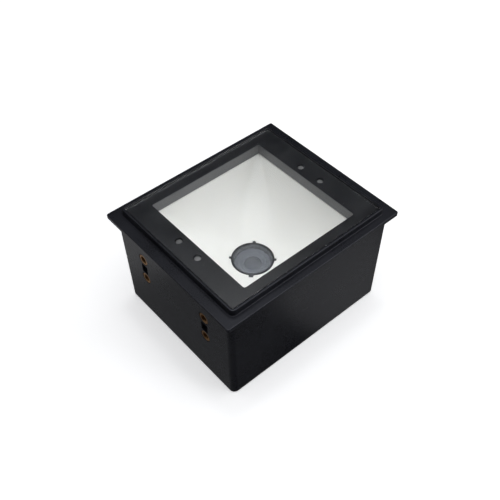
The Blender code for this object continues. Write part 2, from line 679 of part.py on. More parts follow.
def make_engine(materials):
    top = IMAGER_BOARD_Z + IMAGER_BOARD[2]
    board = make_plate("imager_board", materials["board_green"], IMAGER_BOARD, IMAGER_BOARD_Z, 1.0)
    holes = [(x * IMAGER_SCREW_X, 0, IMAGER_HOLE) for x in (-1, 1)]
    cut_holes(board, materials["board_green"], holes, IMAGER_BOARD_Z - 1, top + 1, "imager_board_cuts")
    make_plate("image_sensor", materials["chip_black"], IMAGE_SENSOR, top + FILM_GAP, 0.3)

    bracket = make_plate("engine_bracket", materials["holder_black"], BRACKET_PLATE, BRACKET_Z, 3.0)
    posts = bmesh.new()
    post_low = MAIN_BOARD_Z + MAIN_BOARD[2] + CLEARANCE
    for x, y in side_signs():
        centre = (x * BRACKET_POST[0], y * BRACKET_POST[1], 0)
        rod = [(BRACKET_POST_RADIUS, post_low), (BRACKET_POST_RADIUS, BRACKET_Z + BRACKET_PLATE[2] / 2)]
        add_rod(posts, rod, centre, steps=10)
    union = as_guide(finish_object("bracket_posts", posts, materials["holder_black"], smooth=False))
    add_boolean(bracket, union, "UNION")
    cuts = bmesh.new()
    add_rod(cuts, [(BRACKET_BORE, BRACKET_Z - 1), (BRACKET_BORE, BRACKET_Z + 3)])
    for x, y in side_signs():
        centre = (x * BRACKET_POST[0], y * BRACKET_POST[1], 0)
        add_rod(cuts, [(BOARD_SCREW_HOLE, post_low - 1), (BOARD_SCREW_HOLE, 12.5)], centre, steps=8)
    cutter = as_guide(finish_object("bracket_cuts", cuts, materials["holder_black"], smooth=False))
    add_boolean(bracket, cutter, "DIFFERENCE")


def make_main_board(materials):
    top = MAIN_BOARD_Z + MAIN_BOARD[2]
    board = make_plate("main_board", materials["board_green"], MAIN_BOARD, MAIN_BOARD_Z, 1.5)
    holes = [(x * BOARD_SCREW[0], y * BOARD_SCREW[1], BOARD_HOLE) for x, y in side_signs()]
    holes += [(x * BRACKET_POST[0], y * BRACKET_POST[1], BOARD_HOLE) for x, y in side_signs()]
    cut_holes(board, materials["board_green"], holes, MAIN_BOARD_Z - 1, top + 1, "main_board_cuts")

    shape = bmesh.new()
    low = top + FILM_GAP
    edge_x, edge_y = CHIP_PLACE[0] - CHIP_SIZE[0] / 2, CHIP_PLACE[1] - CHIP_SIZE[1] / 2
    high = (edge_x + CHIP_SIZE[0], edge_y + CHIP_SIZE[1], low + CHIP_SIZE[2])
    add_box(shape, (edge_x, edge_y, low), high)
    finish_object("decoder_chip", shape, materials["chip_black"])

    shape = bmesh.new()
    crown = low + BUZZER_HEIGHT
    hole, depth = BUZZER_HOLE
    profile = [
        (BUZZER_RADIUS, low),
        (BUZZER_RADIUS, crown - BUZZER_CHAMFER),
        (BUZZER_RADIUS - BUZZER_CHAMFER, crown),
        (hole, crown),
        (hole, crown - depth),
    ]
    add_rod(shape, profile, (*BUZZER_PLACE, 0), steps=16)
    finish_object("buzzer", shape, materials["chip_black"])


def make_socket(materials):
    wide, deep, tall = SOCKET_SIZE
    low = MAIN_BOARD_Z + MAIN_BOARD[2] + CLEARANCE
    back = SOCKET_FACE_Y - deep
    shape = bmesh.new()
    add_box(shape, (-wide / 2, back, low), (wide / 2, SOCKET_FACE_Y, low + tall))
    socket = finish_object("cable_socket", shape, materials["socket_black"], smooth=False)
    port_x, port_y, port_z = SOCKET_PORT
    latch_x, latch_z = SOCKET_LATCH
    port_low = low + SOCKET_FLOOR
    cuts = bmesh.new()
    add_box(
        cuts,
        (-port_x / 2, SOCKET_FACE_Y - port_y, port_low),
        (port_x / 2, SOCKET_FACE_Y + 1, port_low + port_z),
    )
    port = as_guide(finish_object("socket_port", cuts, materials["socket_black"], smooth=False))
    add_boolean(socket, port, "DIFFERENCE")
    cuts = bmesh.new()
    add_box(
        cuts,
        (-latch_x / 2, SOCKET_FACE_Y - port_y + 2, port_low + port_z - 1),
        (latch_x / 2, SOCKET_FACE_Y + 1.2, port_low + port_z + latch_z - 1),
    )
    latch = as_guide(finish_object("socket_latch", cuts, materials["socket_black"], smooth=False))
    add_boolean(socket, latch, "DIFFERENCE")


def make_ribbon(name, material, path, half_width, turn=None):
    """A flat ribbon along a path of (outward, height) points, thickened on the outer side of its bends."""
    shape = bmesh.new()
    sections = []
    for n, (outward, z) in enumerate(path):
        before = Vector(path[max(n - 1, 0)])
        after = Vector(path[min(n + 1, len(path) - 1)])
        along = (after - before).normalized()
        thick = Vector((-along.y, along.x)) * RIBBON_THICK
        corners = []
        for y, lift in ((half_width, 0), (half_width, 1), (-half_width, 1), (-half_width, 0)):
            corners.append(Vector((outward + thick.x * lift, y, z + thick.y * lift)))
        sections.append(corners)
    bridge(shape, sections, closed=False)
    if turn is not None:
        bmesh.ops.transform(shape, matrix=turn, verts=shape.verts)
    finish_object(name, shape, material, smooth=False)


def arc(centre, radius, start, end, steps):
    """Points on an arc between two angles in degrees, both ends included."""
    angles = [math.radians(start + (end - start) * step / steps) for step in range(steps + 1)]
    return [(centre[0] + radius * math.cos(a), centre[1] + radius * math.sin(a)) for a in angles]


def make_ribbons(materials):
    """One from the imager board's front edge to the main board, and one down each side wall."""
    board_top = MAIN_BOARD_Z + MAIN_BOARD[2] + FILM_GAP + RIBBON_THICK
    top = IMAGER_BOARD_Z + IMAGER_BOARD[2] + FILM_GAP
    edge = IMAGER_BOARD[1] / 2
    bend = (top - board_top) / 2
    path = [(edge - 1.0, board_top)]
    path += arc((edge + 0.6, board_top + bend), bend, -90, 90, 6)
    path.append((edge - 1.8, top))
    front = Matrix.Rotation(math.radians(-90), 4, "Z")
    make_ribbon("flex_cable", materials["flex_amber"], path[::-1], FLEX_HALF_WIDTH, front)

    side_top = SENSOR_BOARD_TOP - SENSOR_BOARD_THICK - FILM_GAP - RIBBON_THICK
    lower_bend, upper_bend = RIBBON_BENDS
    path = [(RIBBON_INNER_X[1], side_top)]
    path += arc((RIBBON_X - upper_bend, side_top - upper_bend), upper_bend, 90, 0, 3)
    path += arc((RIBBON_X - lower_bend, board_top + lower_bend), lower_bend, 0, -90, 3)
    path.append((RIBBON_INNER_X[0], board_top))
    for side, degrees in (("right", 0), ("left", 180)):
        turn = Matrix.Rotation(math.radians(degrees), 4, "Z")
        make_ribbon(side + "_ribbon", materials["flex_amber"], path, RIBBON_HALF_WIDTH, turn)


def make_sensor(name, material, centre):
    """A dome on a short tube, from the sensor board up into the housing's hole."""
    low = SENSOR_BOARD_TOP + FILM_GAP
    top = LEDGE_TOP + SENSOR_RISE
    radius = SENSOR_RADIUS
    profile = [(radius, low), (radius, top - 0.7), (radius * 0.8, top - 0.25), (radius * 0.4, top)]
    shape = bmesh.new()
    add_rod(shape, profile, centre, steps=12)
    finish_object(name, shape, material)


def make_led(name, material, centre):
    """A flat light-emitting diode; centre is the middle of its upper face."""
    half_x, half_y = LED_SIZE[0] / 2, LED_SIZE[1] / 2
    low = (centre[0] - half_x, centre[1] - half_y, centre[2] - LED_SIZE[2])
    high = (centre[0] + half_x, centre[1] + half_y, centre[2])
    shape = bmesh.new()
    add_box(shape, low, high)
    finish_object(name, shape, material, smooth=False)


def make_side_boards(materials):
    under = SENSOR_BOARD_TOP - SENSOR_BOARD_THICK
    for side, sign in (("left", -1), ("right", 1)):
        edges = sorted((sign * SENSOR_BOARD_X[0], sign * SENSOR_BOARD_X[1]))
        shape = bmesh.new()
        low = (edges[0], -SENSOR_BOARD_HALF_Y, under)
        high = (edges[1], SENSOR_BOARD_HALF_Y, SENSOR_BOARD_TOP)
        add_box(shape, low, high)
        name = f"{side}_sensor_board"
        board = finish_object(name, shape, materials["board_green"], smooth=False)
        holes = [(sign * SENSOR_SCREW[0], y * SENSOR_SCREW[1], SENSOR_BOARD_HOLE) for y in (-1, 1)]
        cut_holes(board, materials["board_green"], holes, under - 1, SENSOR_BOARD_TOP + 1, name + "_cuts")
        for end, y in (("front", -1), ("rear", 1)):
            centre = (sign * SENSOR_X, y * SENSOR_Y, 0)
            make_sensor(f"{side}_{end}_sensor", materials["sensor_smoke"], centre)
        for number, y in enumerate(LED_YS, start=1):
            centre = (sign * LED_X, y, under - FILM_GAP)
            make_led(f"{side}_led_{number}", materials["led_white"], centre)


def make_inserts(materials):
    """Threaded brass tubes, pressed into the two side walls in pairs."""
    number = 0
    for x, y in side_signs():
        for z in INSERT_Z:
            number += 1
            mouth = body_half(z)[0] - INSERT_SUNK
            profile = [
                (INSERT_RADIUS, 0),
                (INSERT_RADIUS, INSERT_LENGTH - INSERT_CHAMFER),
                (INSERT_RADIUS - INSERT_CHAMFER, INSERT_LENGTH),
                (INSERT_BORE + INSERT_CHAMFER, INSERT_LENGTH),
                (INSERT_BORE, INSERT_LENGTH - INSERT_CHAMFER),
                (INSERT_BORE, 0),
            ]
            shape = bmesh.new()
            base = (x * (mouth - INSERT_LENGTH), y * INSERT_Y, z)
            add_rod(shape, profile, base, steps=16, closed=True, turn=turn_outward(x))
            finish_object(f"brass_insert_{number}", shape, materials["brass"])


def main():
    clear_scene()
    materials = make_materials()
    make_housing(materials)
    make_base_cover(materials)
    make_window(materials)
    make_shroud(materials)
    make_bowl(materials)
    make_lens_front(materials)
    make_lens(materials)
    make_holder(materials)
    make_engine(materials)
    make_main_board(materials)
    make_socket(materials)
    make_ribbons(materials)
    make_side_boards(materials)
    make_inserts(materials)
    make_screws(materials)


main()
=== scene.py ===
"""Looks of a fixed-mount window barcode scanner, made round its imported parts. Lengths are in millimetres."""

import math

import bmesh
import bpy
from mathutils import Matrix, Vector


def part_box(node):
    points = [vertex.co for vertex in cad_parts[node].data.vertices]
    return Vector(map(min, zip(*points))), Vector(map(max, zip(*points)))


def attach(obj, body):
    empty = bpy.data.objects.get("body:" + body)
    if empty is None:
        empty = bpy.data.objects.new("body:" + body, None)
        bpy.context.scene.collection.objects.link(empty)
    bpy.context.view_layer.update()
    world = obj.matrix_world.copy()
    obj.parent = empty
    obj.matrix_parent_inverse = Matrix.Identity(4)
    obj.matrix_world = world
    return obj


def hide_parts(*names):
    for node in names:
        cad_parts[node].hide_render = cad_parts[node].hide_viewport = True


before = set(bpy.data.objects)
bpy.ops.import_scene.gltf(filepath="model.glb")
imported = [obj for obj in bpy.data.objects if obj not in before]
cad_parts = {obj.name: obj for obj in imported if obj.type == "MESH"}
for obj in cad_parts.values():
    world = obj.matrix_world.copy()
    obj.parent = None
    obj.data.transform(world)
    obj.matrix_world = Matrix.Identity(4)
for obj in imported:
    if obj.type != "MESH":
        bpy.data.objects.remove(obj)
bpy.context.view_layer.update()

MM = 0.001
SIGNS = [(x, y) for x in (-1, 1) for y in (-1, 1)]


def node_box(name):
    """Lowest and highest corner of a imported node, in millimetres."""
    low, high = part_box(name)
    return low / MM, high / MM


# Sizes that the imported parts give.
HOUSING_LOW, HOUSING_HIGH = node_box("housing")
GLASS_LOW, GLASS_HIGH = node_box("window_glass")
MASK_LOW, MASK_HIGH = node_box("window_mask")
SHROUD_LOW, SHROUD_HIGH = node_box("light_shroud")
BOWL_LOW, BOWL_HIGH = node_box("reflector")
RING_LOW, RING_HIGH = node_box("lens_ring")
COVER_LOW, COVER_HIGH = node_box("lens_cover")
BARREL_LOW, BARREL_HIGH = node_box("lens_barrel")
BASE_LOW, BASE_HIGH = node_box("base_cover")
SOCKET_LOW, SOCKET_HIGH = node_box("cable_socket")
BOARD_LOW, BOARD_HIGH = node_box("main_board")
CHIP_LOW, CHIP_HIGH = node_box("decoder_chip")

# The box, its flange and its collar.
TOTAL_HEIGHT = HOUSING_HIGH.z
FLANGE_TOP = 43.8
FLANGE_UNDER = 42.0
FLANGE = (HOUSING_HIGH.x, HOUSING_HIGH.y)
BODY_TOP = (36.8, 31.85)
BODY_BASE = (36.25, 31.3)
COLLAR = (35.0, 30.8)
WALL = 1.9
RIM = 0.9
BODY_CORNER, FLANGE_CORNER, COLLAR_CORNER = 2.3, 0.8, 1.8
EDGE_ROUND = 0.3
FOOT_FILLET = 0.25
BASE_ROUND = 0.9
LEDGE_TOP = 44.25
CEILING = 42.25
OPENING = 26.4
CORNER_STEPS = 10
EDGE_STEPS = 5

# The window and what lies under it.
CLEAR_HALF = 25.3
APERTURE = 1.4
SENSOR_PLACE = (28.5, 5.1)
BOWL_TOP, BOWL_BOTTOM = 40.0, 18.9
BOWL_HALF, BOWL_MOUTH = 25.4, 8.25
BOWL_WALL = 1.2
BOWL_CORNER = 1.4
BOWL_SECTIONS = 44
BOWL_CORNER_STEPS = 20

# The lens.
LENS_Z = RING_HIGH.z
RING_RADIUS, RING_INNER = 7.85, 7.4
EARS = ((45, 8.9, 1.0), (135, 8.9, 1.0), (225, 9.6, 1.5), (315, 8.9, 1.0))  # angle, reach, width
HEAD_LOW, HEAD_TOP = 14.9, 17.0
TURN_STEPS = 96

# Inserts, slots and screws.
INSERT_Y = 17.3
INSERT_LEVELS = (31.3, 21.3)
SLOT_LEVEL = sum(INSERT_LEVELS) / 2
BASE_SCREW = (31.2, 26.2)
SENSOR_SCREW = (31.2, 18.5)
BOARD_SCREW = (25.0, 20.0)
BRACKET_POST = (16.0, 12.4)
IMAGER_SCREW = 10.6

# The cable socket.
PORT = (11.8, 11.0, 6.9)
PORT_LOW = SOCKET_LOW.z + 1.6
CONTACTS = 8
CONTACT_PITCH = 1.02

FLOOR_GLOW = 0.46


# ---------------------------------------------------------------- shader nodes


def add_node(tree, kind, inputs=None, **settings):
    """A node with its settings and with its inputs set or linked."""
    made = tree.nodes.new(kind)
    for name, value in settings.items():
        setattr(made, name, value)
    for name, value in (inputs or {}).items():
        if isinstance(value, bpy.types.NodeSocket):
            tree.links.new(value, made.inputs[name])
        else:
            made.inputs[name].default_value = value
    return made


def start_material(name, **constants):
    """A material with one Principled shader, whose constant values are set on its own sockets."""
    material = bpy.data.materials.new(name)
    material.use_nodes = True
    tree = material.node_tree
    tree.nodes.clear()
    shader = add_node(tree, "ShaderNodeBsdfPrincipled")
    add_node(tree, "ShaderNodeOutputMaterial", {"Surface": shader.outputs["BSDF"]})
    for label, value in constants.items():
        shader.inputs[label.replace("_", " ")].default_value = value
    return material, tree, shader


def object_place(tree):
    return add_node(tree, "ShaderNodeTexCoord").outputs["Object"]


def stretched(tree, place, scale, centre=(0, 0, 0), turn=(0, 0, 0)):
    inputs = {"Vector": place, "Scale": scale, "Location": centre, "Rotation": turn}
    return add_node(tree, "ShaderNodeMapping", inputs).outputs["Vector"]


def noise(tree, place, size_mm, detail=2.0):
    """Cloudy value from 0 to 1 whose features are about size_mm across."""
    inputs = {"Vector": place, "Scale": 1 / (size_mm * MM), "Detail": detail}
    return add_node(tree, "ShaderNodeTexNoise", inputs).outputs["Fac"]


def cells(tree, place, size_mm, feature="F1"):
    inputs = {"Vector": place, "Scale": 1 / (size_mm * MM)}
    return add_node(tree, "ShaderNodeTexVoronoi", inputs, feature=feature).outputs["Distance"]


def spread(tree, value, low, high, start=0.3, end=0.7):
    """Maps a value between start and end to low and high."""
    inputs = {"Value": value, "From Min": start, "From Max": end, "To Min": low, "To Max": high}
    return add_node(tree, "ShaderNodeMapRange", inputs).outputs["Result"]


def math_node(tree, operation, first, second):
    inputs = {0: first, 1: second}
    return add_node(tree, "ShaderNodeMath", inputs, operation=operation).outputs["Value"]


def mixed(tree, share, dark, light):
    """A colour between two, by a share from 0 to 1."""
    made = add_node(tree, "ShaderNodeMix", data_type="RGBA")
    tree.links.new(share, made.inputs[0])
    for index, colour in ((6, dark), (7, light)):
        if isinstance(colour, bpy.types.NodeSocket):
            tree.links.new(colour, made.inputs[index])
        else:
            made.inputs[index].default_value = (*colour, 1)
    return made.outputs[2]


def link(tree, source, shader, socket):
    tree.links.new(source, shader.inputs[socket])


def raise_grain(tree, shader, height, depth_mm, strength=1.0):
    inputs = {"Height": height, "Distance": depth_mm * MM, "Strength": strength}
    made = add_node(tree, "ShaderNodeBump", inputs)
    link(tree, made.outputs["Normal"], shader, "Normal")


def moulded(name, dark, light, gloss, grain_mm, depth_mm, **constants):
    """Moulded plastic: faint clouds in the colour, uneven gloss and a fine eroded grain."""
    material, tree, shader = start_material(name, **constants)
    place = object_place(tree)
    clouds = noise(tree, place, 14.0, 3.0)
    grain = noise(tree, place, grain_mm, 3.0)
    link(tree, mixed(tree, spread(tree, clouds, 0, 1), dark, light), shader, "Base Color")
    uneven = math_node(tree, "ADD", math_node(tree, "MULTIPLY", grain, 0.5), math_node(tree, "MULTIPLY", clouds, 0.5))
    link(tree, spread(tree, uneven, *gloss, 0.35, 0.65), shader, "Roughness")
    raise_grain(tree, shader, grain, depth_mm)
    return material


def shell_plastic():
    """Satin black shell, a little rubbed where fingers and tools reach it."""
    material = moulded(
        "shell_plastic", (0.007, 0.0075, 0.01), (0.01, 0.0105, 0.014), (0.25, 0.34), 0.28, 0.012, Specular_Tint=(0.88, 0.9, 1, 1)
    )
    tree = material.node_tree
    shader = next(n for n in tree.nodes if n.type == "BSDF_PRINCIPLED")
    place = object_place(tree)
    scuffs = noise(tree, stretched(tree, place, (1, 1, 7), turn=(0, 0.3, 0.4)), 5.0, 5.0)
    rubbed = spread(tree, scuffs, 0, 0.06, 0.62, 0.8)
    gloss = shader.inputs["Roughness"].links[0].from_socket
    link(tree, math_node(tree, "SUBTRACT", gloss, rubbed), shader, "Roughness")
    return material


def clear_pane(name, colour, haze, ior=1.5, clarity=1.0):
    """Clear glass or plastic that lets lamplight through to what it covers."""
    constants = {"Transmission_Weight": clarity, "IOR": ior, "Base_Color": (*colour, 1)}
    material, tree, shader = start_material(name, **constants)
    place = object_place(tree)
    smears = noise(tree, stretched(tree, place, (1, 2.5, 1), turn=(0, 0, 0.5)), 9.0, 4.0)
    link(tree, spread(tree, smears, 0, haze, 0.45, 0.75), shader, "Roughness")
    raise_grain(tree, shader, noise(tree, place, 30.0, 1.0), 0.004)
    clear = add_node(tree, "ShaderNodeBsdfTransparent", {"Color": (*colour, 1)})
    lamps = add_node(tree, "ShaderNodeLightPath").outputs["Is Shadow Ray"]
    both = add_node(tree, "ShaderNodeMixShader", {0: lamps, 1: shader.outputs[0], 2: clear.outputs[0]})
    output = next(n for n in tree.nodes if n.type == "OUTPUT_MATERIAL")
    link(tree, both.outputs[0], output, "Surface")
    return material


def printed_border():
    """Black enamel printed on the glass, with the pinholes of a screen print."""
    material, tree, shader = start_material("border_ink")
    place = object_place(tree)
    pinholes = spread(tree, cells(tree, place, 0.35), 1, 0, 0.02, 0.06)
    clouds = noise(tree, place, 6.0, 3.0)
    ink = mixed(tree, spread(tree, clouds, 0, 1), (0.003, 0.0035, 0.005), (0.006, 0.0065, 0.0085))
    link(tree, mixed(tree, pinholes, ink, (0.012, 0.012, 0.013)), shader, "Base Color")
    link(tree, spread(tree, clouds, 0.3, 0.42), shader, "Roughness")
    raise_grain(tree, shader, noise(tree, place, 0.15, 2.0), 0.003)
    return material


def foam_tape():
    """Adhesive foam with open cells."""
    material, tree, shader = start_material("foam_tape")
    place = object_place(tree)
    bubbles = cells(tree, place, 0.22)
    link(tree, mixed(tree, spread(tree, bubbles, 0, 1, 0.1, 0.6), (0.03, 0.03, 0.03), (0.008, 0.008, 0.008)), shader, "Base Color")
    link(tree, spread(tree, bubbles, 0.8, 0.97, 0.1, 0.6), shader, "Roughness")
    raise_grain(tree, shader, bubbles, 0.08)
    return material


def bowl_white():
    """Matt milky white, softly lit through, with a powdery tooth."""
    constants = {"Subsurface_Weight": 0.12, "Subsurface_Radius": (1, 0.95, 0.85), "Subsurface_Scale": 0.0009}
    return moulded("milky_bowl", (0.87, 0.865, 0.83), (0.91, 0.905, 0.87), (0.5, 0.62), 0.2, 0.008, **constants)


def turned_metal(name, dark, light, gloss, pitch_mm, depth_mm, axis="Z", metallic=1.0):
    """Metal off a lathe: fine rings round its axis, with stains in the colour."""
    material, tree, shader = start_material(name, Metallic=metallic)
    place = object_place(tree)
    inputs = {"Vector": place, "Scale": 1 / (pitch_mm * MM * math.tau), "Distortion": 0.4, "Detail": 2.0}
    made = add_node(tree, "ShaderNodeTexWave", inputs, wave_type="RINGS", rings_direction=axis)
    rings = made.outputs["Fac"]
    stains = noise(tree, place, 1.6, 4.0)
    link(tree, mixed(tree, spread(tree, stains, 0, 1), dark, light), shader, "Base Color")
    uneven = math_node(tree, "ADD", math_node(tree, "MULTIPLY", rings, 0.4), math_node(tree, "MULTIPLY", stains, 0.6))
    link(tree, spread(tree, uneven, *gloss, 0.2, 0.8), shader, "Roughness")
    raise_grain(tree, shader, rings, depth_mm)
    return material


def plated_metal(name, dark, light, gloss):
    """Bright plated metal with a crystalline bloom and handling marks."""
    material, tree, shader = start_material(name, Metallic=1.0)
    place = object_place(tree)
    bloom = noise(tree, place, 0.7, 4.0)
    marks = noise(tree, stretched(tree, place, (9, 1, 1), turn=(0.3, 0.2, 0.7)), 1.5, 3.0)
    link(tree, mixed(tree, spread(tree, bloom, 0, 1), dark, light), shader, "Base Color")
    link(tree, spread(tree, marks, *gloss), shader, "Roughness")
    raise_grain(tree, shader, marks, 0.004)
    return material


def coated_glass(name, colour, film_nm, rough=0.02):
    """Optical glass with a thin coating that colours what it mirrors."""
    constants = {
        "Transmission_Weight": 0.15,
        "IOR": 1.62,
        "Thin_Film_Thickness": film_nm,
        "Thin_Film_IOR": 1.38,
        "Coat_Weight": 0.4,
    }
    material, tree, shader = start_material(name, **constants)
    place = object_place(tree)
    dust = spread(tree, cells(tree, place, 0.5), 1, 0, 0.03, 0.1)
    clear = tuple(value * 1.3 for value in colour)
    link(tree, mixed(tree, spread(tree, noise(tree, place, 2.5), 0, 1), colour, clear), shader, "Base Color")
    link(tree, spread(tree, dust, rough, rough + 0.12, 0, 1), shader, "Roughness")
    return material


def circuit_board():
    """Green solder mask over copper tracks, with plated holes."""
    material, tree, shader = start_material("circuit_board", Coat_Weight=0.3, Coat_Roughness=0.2)
    place = object_place(tree)
    inputs = {"Vector": place, "Scale": 160.0, "Mortar Size": 0.012, "Brick Width": 0.55, "Row Height": 0.12}
    tracks = add_node(tree, "ShaderNodeTexBrick", inputs).outputs["Fac"]
    holes = spread(tree, cells(tree, place, 2.6), 1, 0, 0.08, 0.11)
    clouds = noise(tree, place, 3.0, 3.0)
    mask = mixed(tree, spread(tree, clouds, 0, 1), (0.006, 0.07, 0.028), (0.01, 0.1, 0.04))
    traced = mixed(tree, tracks, mask, (0.02, 0.16, 0.06))
    link(tree, mixed(tree, holes, traced, (0.6, 0.48, 0.25)), shader, "Base Color")
    link(tree, holes, shader, "Metallic")
    link(tree, spread(tree, clouds, 0.3, 0.45), shader, "Roughness")
    raise_grain(tree, shader, math_node(tree, "SUBTRACT", tracks, holes), 0.03)
    return material


def flexible_strip():
    """Amber film over parallel copper tracks that run along the strip."""
    material, tree, shader = start_material("flexible_strip", Coat_Weight=0.5, Coat_Roughness=0.12)
    place = object_place(tree)
    inputs = {"Vector": place, "Scale": 320.0, "Distortion": 0.05}
    across = add_node(tree, "ShaderNodeTexWave", inputs, bands_direction="DIAGONAL").outputs["Fac"]
    tracks = spread(tree, across, 0, 1, 0.45, 0.55)
    clouds = noise(tree, place, 2.0, 3.0)
    film = mixed(tree, spread(tree, clouds, 0, 1), (0.42, 0.17, 0.03), (0.5, 0.23, 0.05))
    link(tree, mixed(tree, tracks, film, (0.62, 0.33, 0.12)), shader, "Base Color")
    link(tree, spread(tree, clouds, 0.28, 0.4), shader, "Roughness")
    raise_grain(tree, shader, tracks, 0.02)
    return material


def sensor_die():
    """Fine grid of light cells under the package's glass."""
    material, tree, shader = start_material("sensor_die", Coat_Weight=1.0, Coat_Roughness=0.02, Metallic=0.3)
    place = object_place(tree)
    grid = add_node(tree, "ShaderNodeTexChecker", {"Vector": place, "Scale": 8000.0}).outputs["Fac"]
    clouds = noise(tree, place, 1.5)
    base = mixed(tree, spread(tree, clouds, 0, 1), (0.05, 0.06, 0.09), (0.09, 0.1, 0.13))
    link(tree, mixed(tree, math_node(tree, "MULTIPLY", grid, 0.4), base, (0.14, 0.2, 0.26)), shader, "Base Color")
    link(tree, spread(tree, clouds, 0.15, 0.25), shader, "Roughness")
    return material


def glow_face():
    """Pale yellow phosphor face, slightly grainy."""
    material, tree, shader = start_material("glow_face")
    place = object_place(tree)
    grains = noise(tree, place, 0.12, 3.0)
    link(tree, mixed(tree, spread(tree, grains, 0, 1), (0.72, 0.6, 0.14), (0.85, 0.76, 0.3)), shader, "Base Color")
    link(tree, spread(tree, grains, 0.35, 0.55), shader, "Roughness")
    raise_grain(tree, shader, grains, 0.02)
    return material


def stage_floor():
    material, tree, shader = start_material("stage_floor")
    place = object_place(tree)
    clouds = noise(tree, place, 180.0, 1.0)
    link(tree, mixed(tree, clouds, (0.93, 0.93, 0.93), (0.95, 0.95, 0.95)), shader, "Base Color")
    shader.inputs["Roughness"].default_value = 0.9
    shader.inputs["Emission Color"].default_value = (1, 1, 1, 1)
    shader.inputs["Emission Strength"].default_value = FLOOR_GLOW
    return material


MATERIALS = {
    "shell": shell_plastic(),
    "pane": clear_pane("pane_glass", (0.985, 0.99, 0.99), 0.03),
    "print": printed_border(),
    "foam": foam_tape(),
    "shroud": moulded("shroud_plastic", (0.135, 0.135, 0.14), (0.16, 0.16, 0.165), (0.4, 0.55), 0.25, 0.012),
    "bowl": bowl_white(),
    "ring": moulded("ring_plastic", (0.03, 0.032, 0.036), (0.045, 0.047, 0.052), (0.42, 0.55), 0.2, 0.01),
    "cover": clear_pane("cover_plastic", (0.66, 0.68, 0.71), 0.05, 1.4, 0.9),
    "barrel": turned_metal("barrel_metal", (0.24, 0.25, 0.265), (0.3, 0.31, 0.33), (0.5, 0.62), 0.12, 0.004, metallic=0.15),
    "front": coated_glass("front_glass", (0.13, 0.133, 0.137), 120.0, 0.05),
    "rear": coated_glass("rear_glass", (0.08, 0.1, 0.12), 620.0),
    "holder": moulded("holder_plastic", (0.008, 0.008, 0.008), (0.014, 0.014, 0.014), (0.5, 0.65), 0.18, 0.02),
    "board": circuit_board(),
    "chip": moulded("chip_epoxy", (0.012, 0.012, 0.013), (0.02, 0.02, 0.021), (0.45, 0.6), 0.09, 0.008),
    "die": sensor_die(),
    "smoke": moulded("smoky_dome", (0.11, 0.11, 0.11), (0.15, 0.15, 0.15), (0.2, 0.3), 0.3, 0.003),
    "led": moulded("led_package", (0.72, 0.72, 0.7), (0.8, 0.8, 0.78), (0.35, 0.5), 0.15, 0.006),
    "phosphor": glow_face(),
    "socket": moulded("socket_plastic", (0.014, 0.014, 0.016), (0.022, 0.022, 0.025), (0.35, 0.5), 0.2, 0.01),
    "flex": flexible_strip(),
    "brass": turned_metal("insert_brass", (0.36, 0.17, 0.06), (0.66, 0.38, 0.16), (0.2, 0.36), 0.16, 0.008, "X"),
    "gold": plated_metal("contact_gold", (0.72, 0.5, 0.2), (0.86, 0.64, 0.3), (0.12, 0.28)),
    "steel": plated_metal("screw_zinc", (0.24, 0.24, 0.26), (0.38, 0.38, 0.4), (0.25, 0.42)),
    "tin": plated_metal("tinned_lead", (0.5, 0.5, 0.5), (0.66, 0.66, 0.65), (0.22, 0.38)),
    "ceramic": moulded("part_ceramic", (0.16, 0.11, 0.07), (0.24, 0.17, 0.11), (0.4, 0.55), 0.1, 0.01),
}


# ---------------------------------------------------------------- mesh making


def rounded_loop(half_x, half_y, corner, z, steps=CORNER_STEPS):
    """A closed loop of points, anticlockwise from above, with the same count for any size."""
    points = []
    for sign_x, sign_y, start in ((1, 1, 0), (-1, 1, 90), (-1, -1, 180), (1, -1, 270)):
        for step in range(steps + 1):
            angle = math.radians(start + 90 * step / steps)
            x = sign_x * (half_x - corner) + corner * math.cos(angle)
            y = sign_y * (half_y - corner) + corner * math.sin(angle)
            points.append(Vector((x, y, z)))
    return points


def arc(centre, radius, start, end, steps=EDGE_STEPS):
    """Points on an arc, as pairs, between two angles in degrees."""
    angles = [math.radians(start + (end - start) * step / steps) for step in range(steps + 1)]
    return [(centre[0] + radius * math.cos(a), centre[1] + radius * math.sin(a)) for a in angles]


def join_loops(shape, loops, closed):
    """Walls between loops of equal length; closed joins last to first, otherwise both ends are capped."""
    rings = [[shape.verts.new(point * MM) for point in loop] for loop in loops]
    pairs = list(zip(rings, rings[1:]))
    if closed:
        pairs.append((rings[-1], rings[0]))
    for lower, upper in pairs:
        for n, point in enumerate(lower):
            m = (n + 1) % len(lower)
            shape.faces.new((point, lower[m], upper[m], upper[n]))
    if not closed:
        shape.faces.new(reversed(rings[0]))
        shape.faces.new(rings[-1])


def turn_profile(shape, profile, centre=(0, 0, 0), steps=TURN_STEPS, closed=False, turn=None):
    """A turned solid from (radius, height) pairs listed upwards on the outside. A radius of 0 is a pole."""
    start = len(shape.verts)
    angles = [math.tau * n / steps for n in range(steps)]
    rings = []
    for radius, z in profile:
        if radius == 0:
            rings.append([shape.verts.new((0, 0, z * MM))])
        else:
            rings.append([shape.verts.new((radius * MM * math.cos(a), radius * MM * math.sin(a), z * MM)) for a in angles])
    pairs = list(zip(rings, rings[1:]))
    if closed:
        pairs.append((rings[-1], rings[0]))
    for lower, upper in pairs:
        for n in range(steps):
            m = (n + 1) % steps
            corners = [lower[n % len(lower)], lower[m % len(lower)], upper[m % len(upper)], upper[n % len(upper)]]
            distinct = [v for k, v in enumerate(corners) if v not in corners[:k]]
            shape.faces.new(distinct)
    if not closed:
        if len(rings[0]) > 1:
            shape.faces.new(reversed(rings[0]))
        if len(rings[-1]) > 1:
            shape.faces.new(rings[-1])
    shape.verts.ensure_lookup_table()
    made = shape.verts[start:]
    if turn is not None:
        bmesh.ops.transform(shape, matrix=turn, verts=made)
    bmesh.ops.translate(shape, vec=Vector(centre) * MM, verts=made)


